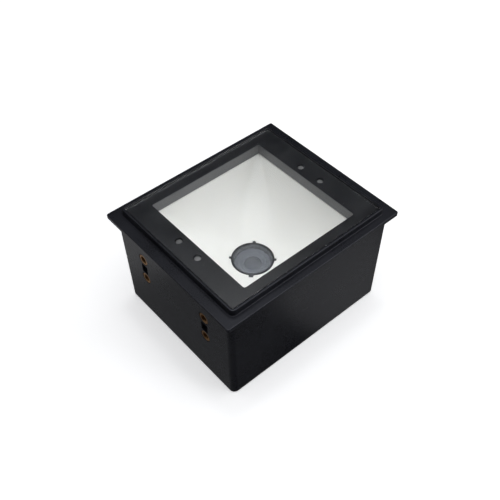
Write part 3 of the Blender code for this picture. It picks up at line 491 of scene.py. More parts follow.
def add_block(shape, low, high, corner, steps=4, round_edge=0.0, turn=None):
    """A block with rounded upright corners, and rounded top and bottom edges where asked."""
    start = len(shape.verts)
    half_x, half_y = (high[0] - low[0]) / 2, (high[1] - low[1]) / 2
    centre = Vector(((low[0] + high[0]) / 2, (low[1] + high[1]) / 2, 0))
    levels = [(0, low[2]), (0, high[2])]
    if round_edge:
        rise = arc((0, 0), round_edge, 0, 90, 3)
        levels = [(round_edge - x, low[2] + round_edge - z) for x, z in reversed(rise)]
        levels += [(round_edge - x, high[2] - round_edge + z) for x, z in rise]
    loops = []
    for inset, z in levels:
        loop = rounded_loop(half_x - inset, half_y - inset, max(corner - inset, 0.01), z, steps)
        loops.append([centre + point for point in loop])
    join_loops(shape, loops, closed=False)
    if turn is not None:
        shape.verts.ensure_lookup_table()
        bmesh.ops.transform(shape, matrix=turn, verts=shape.verts[start:])


def object_from(name, shape, material=None):
    mesh = bpy.data.meshes.new(name)
    bmesh.ops.recalc_face_normals(shape, faces=shape.faces)
    shape.to_mesh(mesh)
    shape.free()
    if material is not None:
        mesh.materials.append(material)
    item = bpy.data.objects.new(name, mesh)
    bpy.context.scene.collection.objects.link(item)
    return item


def settle(item, mesh):
    """Gives an object its finished mesh and drops its modifiers and helpers."""
    item.modifiers.clear()
    item.data = mesh
    return item


def carve(item, steps):
    """Joins and cuts an object with helper shapes, given as (operation, shape) pairs."""
    helpers = []
    for operation, shape in steps:
        helper = object_from(item.name + "_helper", shape)
        modifier = item.modifiers.new(operation, "BOOLEAN")
        modifier.operation = operation
        modifier.solver = "EXACT"
        modifier.object = helper
        helpers.append(helper)
    settle(item, plain_mesh(item))
    for helper in helpers:
        bpy.data.objects.remove(helper)
    return item


def plain_mesh(item):
    """The mesh that an object's modifiers make, as its own plain mesh."""
    bpy.context.view_layer.update()
    evaluated = item.evaluated_get(bpy.context.evaluated_depsgraph_get())
    return bpy.data.meshes.new_from_object(evaluated)


def smooth_shading(item, sharp):
    """Smooth over rounds, flat over faces: large faces outweigh the narrow rounds beside them."""
    item.data.shade_smooth()
    item.data.set_sharp_from_angle(angle=math.radians(sharp))
    modifier = item.modifiers.new("even", "WEIGHTED_NORMAL")
    modifier.keep_sharp = True
    modifier.weight = 100
    settle(item, plain_mesh(item))


def hand_over(item, look, body="root", replaced=(), sharp=32):
    """Shades a finished piece, names its look, and puts it on its body."""
    smooth_shading(item, sharp)
    item.data.materials.clear()
    item.data.materials.append(MATERIALS[look])
    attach(item, body)
    if replaced:
        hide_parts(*replaced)
    return item


# ---------------------------------------------------------------- the shell


def body_half(z):
    share = z / FLANGE_UNDER
    return [base + (top - base) * share for base, top in zip(BODY_BASE, BODY_TOP)]


def body_loop(z, inset, corner):
    half_x, half_y = body_half(z)
    return rounded_loop(half_x - inset, half_y - inset, corner, z)


def shell_loops():
    """Outside from the base up over the flange and the collar, then the window recess and the inside."""
    loops = []
    for inset, z in arc((BASE_ROUND, BASE_ROUND), BASE_ROUND, 270, 180, 7):
        loops.append(body_loop(z, inset, BODY_CORNER - inset))
    under = FLANGE_UNDER
    for outset, z in arc((FOOT_FILLET, under - FOOT_FILLET), FOOT_FILLET, 180, 90, 4):
        loops.append(body_loop(z, -outset, BODY_CORNER + outset))
    edge = EDGE_ROUND
    rims = arc((edge, under + edge), edge, 270, 180) + arc((edge, FLANGE_TOP - edge), edge, 180, 90)
    for inset, z in rims:
        loops.append(rounded_loop(FLANGE[0] - inset, FLANGE[1] - inset, FLANGE_CORNER - inset, z))
    foot = arc((-FOOT_FILLET, FLANGE_TOP + FOOT_FILLET), FOOT_FILLET, 270, 360, 4)
    brow = arc((edge, TOTAL_HEIGHT - edge), edge, 180, 90)
    lip = arc((RIM - 0.12, TOTAL_HEIGHT - 0.12), 0.12, 90, 0, 3)
    recess = [(RIM, LEDGE_TOP)]
    for inset, z in foot + brow + lip + recess:
        loops.append(rounded_loop(COLLAR[0] - inset, COLLAR[1] - inset, COLLAR_CORNER - inset, z))
    inner_corner = BODY_CORNER - 1.0
    for z in (LEDGE_TOP, CEILING):
        loops.append(rounded_loop(OPENING, OPENING, inner_corner, z))
    loops.append(body_loop(CEILING, WALL, inner_corner))
    loops.append(body_loop(0, WALL, inner_corner))
    return loops


def shell_bosses():
    shape = bmesh.new()
    for x, y in SIGNS:
        outer = body_half(INSERT_LEVELS[1])[0] - WALL / 2
        edges = sorted((x * outer, x * (outer - 5.2)))
        low = (edges[0], y * INSERT_Y - 3.7, SLOT_LEVEL - 8.8)
        high = (edges[1], y * INSERT_Y + 3.7, SLOT_LEVEL + 8.8)
        add_block(shape, low, high, 0.6, 3)
        turn_profile(shape, [(3.6, 2.3), (3.6, 13.0)], (x * BASE_SCREW[0], y * BASE_SCREW[1], 0), 40)
        centre = (x * SENSOR_SCREW[0], y * SENSOR_SCREW[1], 0)
        turn_profile(shape, [(1.8, 41.7), (1.8, CEILING + 0.5)], centre, 28)
    return shape


def quarter_turn(x):
    return Matrix.Rotation(math.radians(90 * x), 4, "Y")


def shell_cuts():
    """Insert holes with a lead-in, locating slots, sensor and screw holes, and the socket's window."""
    shape = bmesh.new()
    deep = 5.2
    for x, y in SIGNS:
        for z in INSERT_LEVELS:
            face = body_half(z)[0]
            profile = [(2.35, 0), (2.35, deep - 0.16), (2.55, deep + 0.1), (2.55, deep + 2)]
            base = (x * (face - deep), y * INSERT_Y, z)
            turn_profile(shape, profile, base, 56, turn=quarter_turn(x))
        face = body_half(SLOT_LEVEL)[0]
        slot_turn = Matrix.Translation(Vector((x * (face - 4.2), y * INSERT_Y, SLOT_LEVEL)) * MM) @ quarter_turn(x)
        add_block(shape, (-2.2, -1.7, 0), (2.2, 1.7, 6.2), 0.35, 4, turn=slot_turn)
        centre = (x * SENSOR_PLACE[0], y * SENSOR_PLACE[1], 0)
        turn_profile(shape, [(1.45, CEILING - 1), (1.45, LEDGE_TOP + 1)], centre, 32)
        centre = (x * BASE_SCREW[0], y * BASE_SCREW[1], 0)
        turn_profile(shape, [(1.25, 1.0), (1.25, 11.5)], centre, 24)
        centre = (x * SENSOR_SCREW[0], y * SENSOR_SCREW[1], 0)
        turn_profile(shape, [(0.85, 40.4), (0.85, 43.55)], centre, 20)
    wide = SOCKET_HIGH.x + 0.3
    low = (-wide, body_half(0)[1] - WALL - 2, BOARD_HIGH.z)
    high = (wide, body_half(0)[1] + 3, SOCKET_HIGH.z + 0.3)
    add_block(shape, low, high, 0.01, 1)
    return shape


def make_shell():
    shape = bmesh.new()
    join_loops(shape, shell_loops(), closed=True)
    shell = carve(object_from("shell", shape), [("UNION", shell_bosses()), ("DIFFERENCE", shell_cuts())])
    hand_over(shell, "shell", replaced=["housing"], sharp=28)


def make_base():
    """Base plate with a blank label recess, sunk screw seats and the posts for the main board."""
    shape = bmesh.new()
    low, high = list(BASE_LOW), list(BASE_HIGH)
    add_block(shape, low, (high[0], high[1], 2.0), 1.1, 6, round_edge=0.18)
    posts = bmesh.new()
    cuts = bmesh.new()
    for x, y in SIGNS:
        centre = (x * BOARD_SCREW[0], y * BOARD_SCREW[1], 0)
        turn_profile(posts, [(2.7, 1.0), (2.7, 2.2), (2.4, 2.6), (2.4, BASE_HIGH.z)], centre, 40)
        turn_profile(cuts, [(1.0, 1.4), (1.0, 6.0)], centre, 24)
        centre = (x * BASE_SCREW[0], y * BASE_SCREW[1], 0)
        seat = [(2.85, -1), (2.85, 0), (2.6, 0.25), (2.6, 1.2), (1.4, 1.2), (1.4, 3)]
        turn_profile(cuts, seat, centre, 48)
    add_block(cuts, (-17, -11, -1), (17, 11, 0.22), 1.2, 6)
    base = carve(object_from("base_plate", shape), [("UNION", posts), ("DIFFERENCE", cuts)])
    hand_over(base, "shell", replaced=["base_cover"])


# ---------------------------------------------------------------- window, shroud and bowl


def make_window():
    low, high = list(GLASS_LOW), list(GLASS_HIGH)
    shape = bmesh.new()
    add_block(shape, low, high, 0.75, CORNER_STEPS, round_edge=0.12)
    hand_over(object_from("window_pane", shape), "pane", replaced=["window_glass"])

    shape = bmesh.new()
    outline = [(MASK_HIGH.x, MASK_HIGH.y, 0.75), (CLEAR_HALF, CLEAR_HALF, 0.8)]
    levels = (MASK_LOW.z, MASK_HIGH.z)
    loops = [rounded_loop(*outline[0], z) for z in levels] + [rounded_loop(*outline[1], z) for z in levels[::-1]]
    join_loops(shape, loops, closed=True)
    cuts = bmesh.new()
    for x, y in SIGNS:
        centre = (x * SENSOR_PLACE[0], y * SENSOR_PLACE[1], 0)
        turn_profile(cuts, [(APERTURE, levels[0] - 1), (APERTURE, levels[1] + 1)], centre, 48)
    border = carve(object_from("printed_border", shape), [("DIFFERENCE", cuts)])
    hand_over(border, "print", replaced=["window_mask"])


def make_shroud():
    inside, outside = SHROUD_HIGH.x - 0.8, SHROUD_HIGH.x
    lip, lip_top = SHROUD_HIGH.y, 41.65
    low, top = SHROUD_LOW.z, SHROUD_HIGH.z
    loops = [rounded_loop(outside, lip, 0.8, z) for z in (low, lip_top)]
    loops.append(rounded_loop(outside, outside, 0.8, lip_top))
    crest = arc((0.4, top - 0.4), 0.4, 180, 0, 8)
    for inset, z in crest:
        loops.append(rounded_loop(outside - inset, outside - inset, 0.8 - inset * 0.375, z))
    loops.append(rounded_loop(inside, inside, 0.5, low))
    shape = bmesh.new()
    join_loops(shape, loops, closed=True)
    hand_over(object_from("light_shroud_wall", shape), "shroud", replaced=["light_shroud"])


def bowl_section(share, outset):
    """The bowl's outline at a share of its depth: a square with rounded corners at 0, a circle at 1."""
    angle = share * math.pi / 2
    drop = 1 - math.cos(angle) if share < 1 else 1.0
    depth = math.sin(angle) * 0.55 + share * 0.45
    half = BOWL_HALF + (BOWL_MOUTH - BOWL_HALF) * (0.55 * drop + 0.45 * share)
    corner = BOWL_CORNER + (half - BOWL_CORNER) * share**1.3
    z = BOWL_TOP - (BOWL_TOP - BOWL_BOTTOM) * depth
    return half + outset, corner + outset, z


def ear_blocks(low, high, start, gap):
    """Four bars on the diagonals, one of which is the larger key."""
    shape = bmesh.new()
    for degrees, reach, width in EARS:
        turn = Matrix.Rotation(math.radians(degrees), 4, "Z")
        half = width / 2 + gap
        add_block(shape, (start, -half, low), (reach + gap, half, high), 0.2, 4, turn=turn)
    return shape


def make_bowl():
    inside = []
    outside = []
    for step in range(BOWL_SECTIONS):
        share = step / (BOWL_SECTIONS - 1)
        half, corner, z = bowl_section(share, 0)
        inside.append(rounded_loop(half, half, corner, z, BOWL_CORNER_STEPS))
        half, corner, z = bowl_section(share, BOWL_WALL)
        level = z - BOWL_WALL * 0.6 * share
        outside.append(rounded_loop(half, half, corner, level, BOWL_CORNER_STEPS))
    shape = bmesh.new()
    join_loops(shape, outside[::-1] + inside, closed=True)
    notches = ear_blocks(LENS_Z - 4, LENS_Z + 3, 5.0, 0.15)
    bowl = carve(object_from("light_bowl", shape), [("DIFFERENCE", notches)])
    hand_over(bowl, "bowl", replaced=["reflector"], sharp=50)


# ---------------------------------------------------------------- the lens


def make_lens_ring():
    """Ring with a bevelled crest, a step for the cover and four locating ears."""
    low = RING_LOW.z
    profile = [(RING_RADIUS - 0.2, low), (RING_RADIUS, low + 0.2)]
    profile += arc((RING_RADIUS - 0.18, LENS_Z - 0.18), 0.18, 0, 90)
    profile += [(RING_INNER + 0.22, LENS_Z)]
    profile += [(RING_INNER, LENS_Z - 0.22), (RING_INNER, LENS_Z - 1.0)]
    profile += [(RING_INNER - 0.5, LENS_Z - 1.0), (RING_INNER - 0.5, low)]
    shape = bmesh.new()
    turn_profile(shape, profile, closed=True)
    ears = ear_blocks(low + 0.2, LENS_Z - 0.1, RING_INNER + 0.15, 0.0)
    ring = carve(object_from("lens_ring_turned", shape), [("UNION", ears)])
    hand_over(ring, "ring", replaced=["lens_ring"])

    shape = bmesh.new()
    edge = RING_INNER - 0.1
    low, top = COVER_LOW.z, COVER_HIGH.z
    profile = [(0, low), (edge, low)]
    profile += arc((edge - 0.2, top - 0.2), 0.2, 0, 90)
    profile += [(edge - 1.2, top - 0.02), (0, top)]
    turn_profile(shape, profile)
    hand_over(object_from("lens_cover_disc", shape), "cover", replaced=["lens_cover"])


def make_barrel():
    """Lens barrel: a stepped, ringed face with two spanner notches, over a plain body for the thread."""
    profile = [(5.8, BARREL_LOW.z), (5.8, HEAD_LOW)]
    profile += arc((6.5, HEAD_LOW + 0.2), 0.2, 270, 360, 4)
    profile += arc((6.5, HEAD_TOP - 0.2), 0.2, 0, 90, 4)
    profile += [(6.15, HEAD_TOP), (6.05, HEAD_TOP - 0.12), (5.85, HEAD_TOP - 0.12), (5.75, HEAD_TOP), (5.6, HEAD_TOP)]
    profile += [(5.2, HEAD_TOP - 0.4), (4.85, HEAD_TOP - 0.4), (4.8, HEAD_TOP - 0.48), (4.5, HEAD_TOP - 0.48)]
    profile += [(4.2, HEAD_TOP - 0.7), (3.9, HEAD_TOP - 0.9), (3.4, HEAD_TOP - 0.95)]
    profile += [(3.4, 14.2), (2.4, 14.2), (2.4, 13.2), (3.4, 13.2), (3.4, BARREL_LOW.z)]
    shape = bmesh.new()
    turn_profile(shape, profile, closed=True)
    cuts = bmesh.new()
    for x in (-1, 1):
        edges = sorted((x * 5.9, x * 8.0))
        add_block(cuts, (edges[0], -0.6, HEAD_TOP - 0.7), (edges[1], 0.6, HEAD_TOP + 1), 0.15, 3)
    barrel = carve(object_from("barrel_turned", shape), [("DIFFERENCE", cuts)])
    hand_over(barrel, "barrel", "lens_barrel", ["lens_barrel"])


def make_lenses():
    shape = bmesh.new()
    curve = [(radius, 16.4 - (radius**2) * 0.078) for radius in (3.2, 2.9, 2.5, 2.0, 1.5, 1.0, 0.5)]
    turn_profile(shape, [(0, 14.5), (3.2, 14.5)] + curve + [(0, 16.4)], steps=64)
    front = object_from("front_element", shape)
    hand_over(front, "front", "lens_glass", ["lens_front_glass"])
    shape = bmesh.new()
    belly = [(radius, 11.6 + (radius**2) * 0.03) for radius in (0.6, 1.2, 1.8, 2.4, 3.1)]
    turn_profile(shape, [(0, 11.6)] + belly + [(3.1, 12.8), (0, 12.8)], steps=64)
    rear = object_from("rear_element", shape)
    hand_over(rear, "rear", "lens_glass", ["lens_rear_glass"])


def make_sensors():
    """Four smoky domes behind the apertures, each on a stepped foot."""
    shape = bmesh.new()
    names = []
    for side, x in (("left", -1), ("right", 1)):
        for end, y in (("front", -1), ("rear", 1)):
            low, high = node_box(f"{side}_{end}_sensor")
            centre = ((low.x + high.x) / 2, (low.y + high.y) / 2, 0)
            radius = (high.x - low.x) / 2
            crown = MASK_LOW.z - 0.12
            profile = [(0, low.z), (radius, low.z), (radius, low.z + 0.5), (radius - 0.05, low.z + 0.6)]
            profile += arc((radius - 0.35, crown - 0.45), 0.3, 0, 75, 5)
            profile += [(radius * 0.4, crown - 0.04), (0, crown)]
            turn_profile(shape, profile, centre, 40)
            names.append(f"{side}_{end}_sensor")
    hand_over(object_from("sensor_domes", shape), "smoke", replaced=names)


# ---------------------------------------------------------------- the cable socket


def make_socket():
    """Socket with a lipped mouth and a stepped latch notch."""
    shape = bmesh.new()
    add_block(shape, list(SOCKET_LOW), list(SOCKET_HIGH), 0.3, 3)
    face = SOCKET_HIGH.y
    half, port_top = PORT[0] / 2, PORT_LOW + PORT[2]
    middle = (PORT_LOW + port_top) / 2
    corners = ((-1, -1), (1, -1), (1, 1), (-1, 1))
    loops = []
    for outset, y in ((0, face - PORT[1]), (0, face - 0.45), (0.6, face + 0.15)):
        loops.append([Vector((x * (half + outset), y, middle + z * (PORT[2] / 2 + outset))) for x, z in corners])
    port = bmesh.new()
    join_loops(port, loops, closed=False)
    steps = [("DIFFERENCE", port)]
    for wide, deep, low, high in ((3.1, 9.0, -1.0, 1.2), (1.9, 8.0, 0.9, 2.4)):
        notch = bmesh.new()
        add_block(notch, (-wide, face - deep, port_top + low), (wide, face + 1.2, port_top + high), 0.02, 1)
        steps.append(("DIFFERENCE", notch))
    socket = carve(object_from("socket_body", shape), steps)
    hand_over(socket, "socket", replaced=["cable_socket"])


# ---------------------------------------------------------------- repeated pieces


def new_tree(name, sizes, looks):
    """An empty node tree with named inputs for its sizes and its looks."""
    tree = bpy.data.node_groups.new(name, "GeometryNodeTree")
    tree.interface.new_socket("Places", in_out="INPUT", socket_type="NodeSocketGeometry")
    for label in sizes:
        tree.interface.new_socket(label, in_out="INPUT", socket_type="NodeSocketFloat")
    for label in looks:
        tree.interface.new_socket(label, in_out="INPUT", socket_type="NodeSocketMaterial")
    tree.interface.new_socket("Made", in_out="OUTPUT", socket_type="NodeSocketGeometry")
    source = add_node(tree, "NodeGroupInput")
    return tree, source.outputs


def geometry(tree, kind, inputs=None, output=0, **settings):
    return add_node(tree, kind, inputs, **settings).outputs[output]


def number(tree, operation, first, second):
    return geometry(tree, "ShaderNodeMath", {0: first, 1: second}, operation=operation)


def triple(tree, x=0.0, y=0.0, z=0.0):
    return geometry(tree, "ShaderNodeCombineXYZ", {0: x, 1: y, 2: z})


def moved(tree, shape, offset, turn=(0, 0, 0)):
    inputs = {"Geometry": shape, "Translation": offset, "Rotation": turn}
    return geometry(tree, "GeometryNodeTransform", inputs)


def union_of(tree, shapes):
    made = add_node(tree, "GeometryNodeJoinGeometry")
    for shape in reversed(shapes):
        tree.links.new(shape, made.inputs[0])
    return made.outputs[0]


def less(tree, shape, cutters):
    made = add_node(tree, "GeometryNodeMeshBoolean", {"Mesh 1": shape}, operation="DIFFERENCE", solver="EXACT")
    for cutter in cutters:
        tree.links.new(cutter, made.inputs["Mesh 2"])
    return made.outputs[0]


def rod(tree, radius, depth, sides, top=None):
    """An upright rod, or a cone, that stands on the origin."""
    inputs = {"Vertices": sides, "Radius Top": radius if top is None else top, "Radius Bottom": radius, "Depth": depth}
    return geometry(tree, "GeometryNodeMeshCone", inputs)


def block(tree, x, y, z, corner):
    """An upright block with rounded corners that stands on the origin."""
    outline = add_node(tree, "GeometryNodeCurvePrimitiveQuadrilateral", {"Width": x, "Height": y}).outputs[0]
    inputs = {"Curve": outline, "Radius": corner, "Limit Radius": True, "Count": 3}
    outline = geometry(tree, "GeometryNodeFilletCurve", inputs, mode="POLY")
    line = geometry(tree, "GeometryNodeCurvePrimitiveLine", {"End": triple(tree, z=z)})
    inputs = {"Curve": line, "Profile Curve": outline, "Fill Caps": True}
    return geometry(tree, "GeometryNodeCurveToMesh", inputs)


def helix(tree, radius, height, pitch, ridge):
    """A ridge wound round a rod as a screw thread."""
    turns = number(tree, "DIVIDE", height, pitch)
    inputs = {"Resolution": 28, "Rotations": turns, "Start Radius": radius, "End Radius": radius, "Height": height}
    wound = geometry(tree, "GeometryNodeCurveSpiral", inputs)
    section = geometry(tree, "GeometryNodeCurvePrimitiveCircle", {"Resolution": 3, "Radius": ridge})
    return geometry(tree, "GeometryNodeCurveToMesh", {"Curve": wound, "Profile Curve": section, "Fill Caps": True})


def finish_tree(tree, source, parts):
    """Sets one of the made shapes, with its looks, on every place, and turns each as its place says."""
    dressed = []
    for shape, look in parts:
        dressed.append(geometry(tree, "GeometryNodeSetMaterial", {"Geometry": shape, "Material": source[look]}))
    turn = geometry(tree, "GeometryNodeInputNamedAttribute", {"Name": "turn"}, data_type="FLOAT_VECTOR")
    turn = geometry(tree, "FunctionNodeEulerToRotation", {0: turn})
    inputs = {"Points": source["Places"], "Instance": union_of(tree, dressed), "Rotation": turn}
    placed = geometry(tree, "GeometryNodeInstanceOnPoints", inputs)
    real = geometry(tree, "GeometryNodeRealizeInstances", {0: placed})
    add_node(tree, "NodeGroupOutput", {0: real})
    return tree


def screw_tree():
    """Pan-head screw: a domed head with a cross recess, a shank and a rolled thread."""
    sizes = ("Head radius", "Head height", "Shank radius", "Shank length", "Pitch")
    tree, source = new_tree("screw", sizes, ("Metal",))
    high, wide = source["Head height"], source["Head radius"]
    lower = rod(tree, wide, number(tree, "MULTIPLY", high, 0.6), 36, top=number(tree, "MULTIPLY", wide, 0.93))
    upper = rod(
        tree,
        number(tree, "MULTIPLY", wide, 0.93),
        number(tree, "MULTIPLY", high, 0.4),
        36,
        top=number(tree, "MULTIPLY", wide, 0.72),
    )
    upper = moved(tree, upper, triple(tree, z=number(tree, "MULTIPLY", high, 0.6)))
    head = geometry(tree, "GeometryNodeMeshBoolean", operation="UNION", solver="EXACT")
    joined = head.node
    for shape in (lower, upper):
        tree.links.new(shape, joined.inputs["Mesh 2"])
    arm = number(tree, "MULTIPLY", wide, 1.05)
    slim = number(tree, "MULTIPLY", wide, 0.24)
    for long, short in ((arm, slim), (slim, arm)):
        bar = geometry(tree, "GeometryNodeMeshCube", {"Size": triple(tree, long, short, high)})
        bar = moved(tree, bar, triple(tree, z=number(tree, "MULTIPLY", high, 0.9)))
        head = less(tree, head, [bar])
    head_made = head
    shank = rod(tree, number(tree, "MULTIPLY", source["Shank radius"], 0.86), source["Shank length"], 24)
    down = triple(tree, z=number(tree, "MULTIPLY", source["Shank length"], -1.0))
    shank = moved(tree, shank, down)
    thread = helix(
        tree,
        number(tree, "MULTIPLY", source["Shank radius"], 0.86),
        number(tree, "MULTIPLY", source["Shank length"], 0.9),
        source["Pitch"],
        number(tree, "MULTIPLY", source["Shank radius"], 0.13),
    )
    thread = moved(tree, thread, triple(tree, z=number(tree, "MULTIPLY", source["Shank length"], -0.95)))
    return finish_tree(tree, source, [(union_of(tree, [head_made, shank, thread]), "Metal")])


def knurled(tree, shape, depth):
    """Draws an upright round shape in between 24 ridges round its side."""
    position = geometry(tree, "GeometryNodeInputPosition")
    parted = add_node(tree, "ShaderNodeSeparateXYZ", {0: position})
    angle = number(tree, "ARCTAN2", parted.outputs[1], parted.outputs[0])
    ridge = number(tree, "SINE", number(tree, "MULTIPLY", angle, 24.0), 0.0)
    lower = number(tree, "MULTIPLY", number(tree, "SUBTRACT", ridge, 1.0), depth)
    flat = triple(tree, parted.outputs[0], parted.outputs[1], 0.0)
    outward = geometry(tree, "ShaderNodeVectorMath", {0: flat}, operation="NORMALIZE")
    offset = geometry(tree, "ShaderNodeVectorMath", {0: outward, "Scale": lower}, operation="SCALE")
    return geometry(tree, "GeometryNodeSetPosition", {"Geometry": shape, "Offset": offset})


def insert_tree():
    """Brass insert: a knurled tube with a chamfered, threaded bore, its mouth at its place and pointing up."""
    tree, source = new_tree("insert", ("Radius", "Bore", "Length", "Knurl depth", "Pitch"), ("Metal",))
    length, bore = source["Length"], source["Bore"]
    tube = knurled(tree, rod(tree, source["Radius"], length, 96), source["Knurl depth"])
    tube = moved(tree, tube, triple(tree, z=number(tree, "MULTIPLY", length, -1.0)))
    hole = rod(tree, bore, number(tree, "MULTIPLY", length, 3.0), 48)
    hole = moved(tree, hole, triple(tree, z=number(tree, "MULTIPLY", length, -2.0)))
    funnel = rod(
        tree,
        number(tree, "MULTIPLY", bore, 0.7),
        number(tree, "MULTIPLY", bore, 0.8),
        48,
        top=number(tree, "MULTIPLY", bore, 1.4),
    )
    funnel = moved(tree, funnel, triple(tree, z=number(tree, "MULTIPLY", bore, -0.6)))
    tube = less(tree, less(tree, tube, [hole]), [funnel])
    height = number(tree, "MULTIPLY", length, 0.8)
    thread = helix(tree, bore, height, source["Pitch"], number(tree, "MULTIPLY", bore, 0.12))
    thread = moved(tree, thread, triple(tree, z=number(tree, "MULTIPLY", length, -0.97)))
    return finish_tree(tree, source, [(union_of(tree, [tube, thread]), "Metal")])


def thread_tree():
    """The fine focus thread round the barrel."""
    tree, source = new_tree("focus_thread", ("Radius", "Height", "Pitch", "Ridge"), ("Metal",))
    wound = helix(tree, source["Radius"], source["Height"], source["Pitch"], source["Ridge"])
    return finish_tree(tree, source, [(wound, "Metal")])


def contact_tree():
    """One sprung contact of the socket: a flat wire that drops in from above and bends back."""
    tree, source = new_tree("contact", ("Width", "Thickness", "Reach", "Drop"), ("Metal",))
    reach, drop = source["Reach"], source["Drop"]
    lower = number(tree, "MULTIPLY", drop, -1.0)
    inputs = {
        "Start": triple(tree),
        "Start Handle": triple(tree, y=number(tree, "MULTIPLY", reach, 0.45), z=number(tree, "MULTIPLY", drop, 0.1)),
        "End Handle": triple(tree, y=number(tree, "MULTIPLY", reach, 1.1), z=number(tree, "MULTIPLY", lower, 0.1)),
        "End": triple(tree, y=number(tree, "MULTIPLY", reach, 0.35), z=lower),
        "Resolution": 14,
    }
    path = geometry(tree, "GeometryNodeCurvePrimitiveBezierSegment", inputs)
    outline = {"Width": source["Thickness"], "Height": source["Width"]}
    section = geometry(tree, "GeometryNodeCurvePrimitiveQuadrilateral", outline)
    wire = geometry(tree, "GeometryNodeCurveToMesh", {"Curve": path, "Profile Curve": section, "Fill Caps": True})
    return finish_tree(tree, source, [(wire, "Metal")])


def lead_tree():
    """Gull-wing lead of a chip: out of the package, down, and flat on the board."""
    tree, source = new_tree("chip_lead", ("Width", "Thickness", "Reach", "Drop"), ("Metal",))
    reach = source["Reach"]
    lower = number(tree, "MULTIPLY", source["Drop"], -1.0)
    inputs = {
        "Start": triple(tree),
        "Start Handle": triple(tree, x=number(tree, "MULTIPLY", reach, 0.7)),
        "End Handle": triple(tree, x=number(tree, "MULTIPLY", reach, 0.3), z=lower),
        "End": triple(tree, x=reach, z=lower),
        "Resolution": 8,
    }
    path = geometry(tree, "GeometryNodeCurvePrimitiveBezierSegment", inputs)
    outline = {"Width": source["Thickness"], "Height": source["Width"]}
    section = geometry(tree, "GeometryNodeCurvePrimitiveQuadrilateral", outline)
    wire = geometry(tree, "GeometryNodeCurveToMesh", {"Curve": path, "Profile Curve": section, "Fill Caps": True})
    return finish_tree(tree, source, [(wire, "Metal")])


def small_part_tree():
    """Chip capacitor: a ceramic block between two tinned ends."""
    tree, source = new_tree("small_part", ("Long", "Wide", "High"), ("Body", "Ends"))
    inner = number(tree, "MULTIPLY", source["Long"], 0.62)
    slim = number(tree, "MULTIPLY", source["Wide"], 0.94)
    low = number(tree, "MULTIPLY", source["High"], 0.94)
    corner = number(tree, "MULTIPLY", source["Wide"], 0.08)
    body = block(tree, inner, slim, low, corner)
    cap = number(tree, "MULTIPLY", source["Long"], 0.2)
    side = number(tree, "MULTIPLY", source["Long"], 0.4)
    end = block(tree, cap, source["Wide"], source["High"], corner)
    ends = union_of(tree, [moved(tree, end, triple(tree, x=side)), moved(tree, end, triple(tree, x=number(tree, "MULTIPLY", side, -1.0)))])
    return finish_tree(tree, source, [(body, "Body"), (ends, "Ends")])


def led_tree():
    """Light-emitting diode: a white package and its round phosphor face."""
    tree, source = new_tree("led", ("Long", "Wide", "High"), ("Package", "Face", "Pads"))
    corner = number(tree, "MULTIPLY", source["Wide"], 0.06)
    body = block(tree, source["Wide"], source["Long"], source["High"], corner)
    hollow = rod(tree, number(tree, "MULTIPLY", source["Wide"], 0.4), source["High"], 40)
    hollow = moved(tree, hollow, triple(tree, z=number(tree, "MULTIPLY", source["High"], 0.75)))
    body = less(tree, body, [hollow])
    face = rod(tree, number(tree, "MULTIPLY", source["Wide"], 0.39), number(tree, "MULTIPLY", source["High"], 0.16), 40)
    face = moved(tree, face, triple(tree, z=number(tree, "MULTIPLY", source["High"], 0.74)))
    return finish_tree(tree, source, [(body, "Package"), (face, "Face")])


def keep_used_slots(mesh):
    """Drops empty material slots, so that each face keeps the look that its tree set."""
    looks = [material for material in mesh.materials if material is not None]
    order = {n: looks.index(m) if m else 0 for n, m in enumerate(mesh.materials)}
    for face in mesh.polygons:
        face.material_index = order[face.material_index]
    indices = [face.material_index for face in mesh.polygons]
    mesh.materials.clear()
    for look in looks:
        mesh.materials.append(look)
    mesh.polygons.foreach_set("material_index", indices)


def grow(name, tree, places, sizes, looks, body="root", replaced=()):
    """Runs a tree on a list of (place, turn) pairs, and keeps the result as one plain piece."""
    mesh = bpy.data.meshes.new(name + "_places")
    mesh.from_pydata([Vector(place) * MM for place, _ in places], [], [])
    turns = mesh.attributes.new("turn", "FLOAT_VECTOR", "POINT")
    for n, (_, turn) in enumerate(places):
        turns.data[n].vector = turn
    host = bpy.data.objects.new(name + "_host", mesh)
    bpy.context.scene.collection.objects.link(host)
    modifier = host.modifiers.new("make", "NODES")
    modifier.node_group = tree
    values = {label: value * MM for label, value in sizes.items()}
    values.update({label: MATERIALS[look] for label, look in looks.items()})
    for item in tree.interface.items_tree:
        if item.item_type == "SOCKET" and item.name in values:
            modifier[item.identifier] = values[item.name]
    made = plain_mesh(host)
    made.name = name
    keep_used_slots(made)
    piece = bpy.data.objects.new(name, made)
    bpy.context.scene.collection.objects.link(piece)
    bpy.data.objects.remove(host)
    smooth_shading(piece, 30)
    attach(piece, body)
    if replaced:
        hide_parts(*replaced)
    return piece


UP, DOWN = (0, 0, 0), (math.pi, 0, 0)


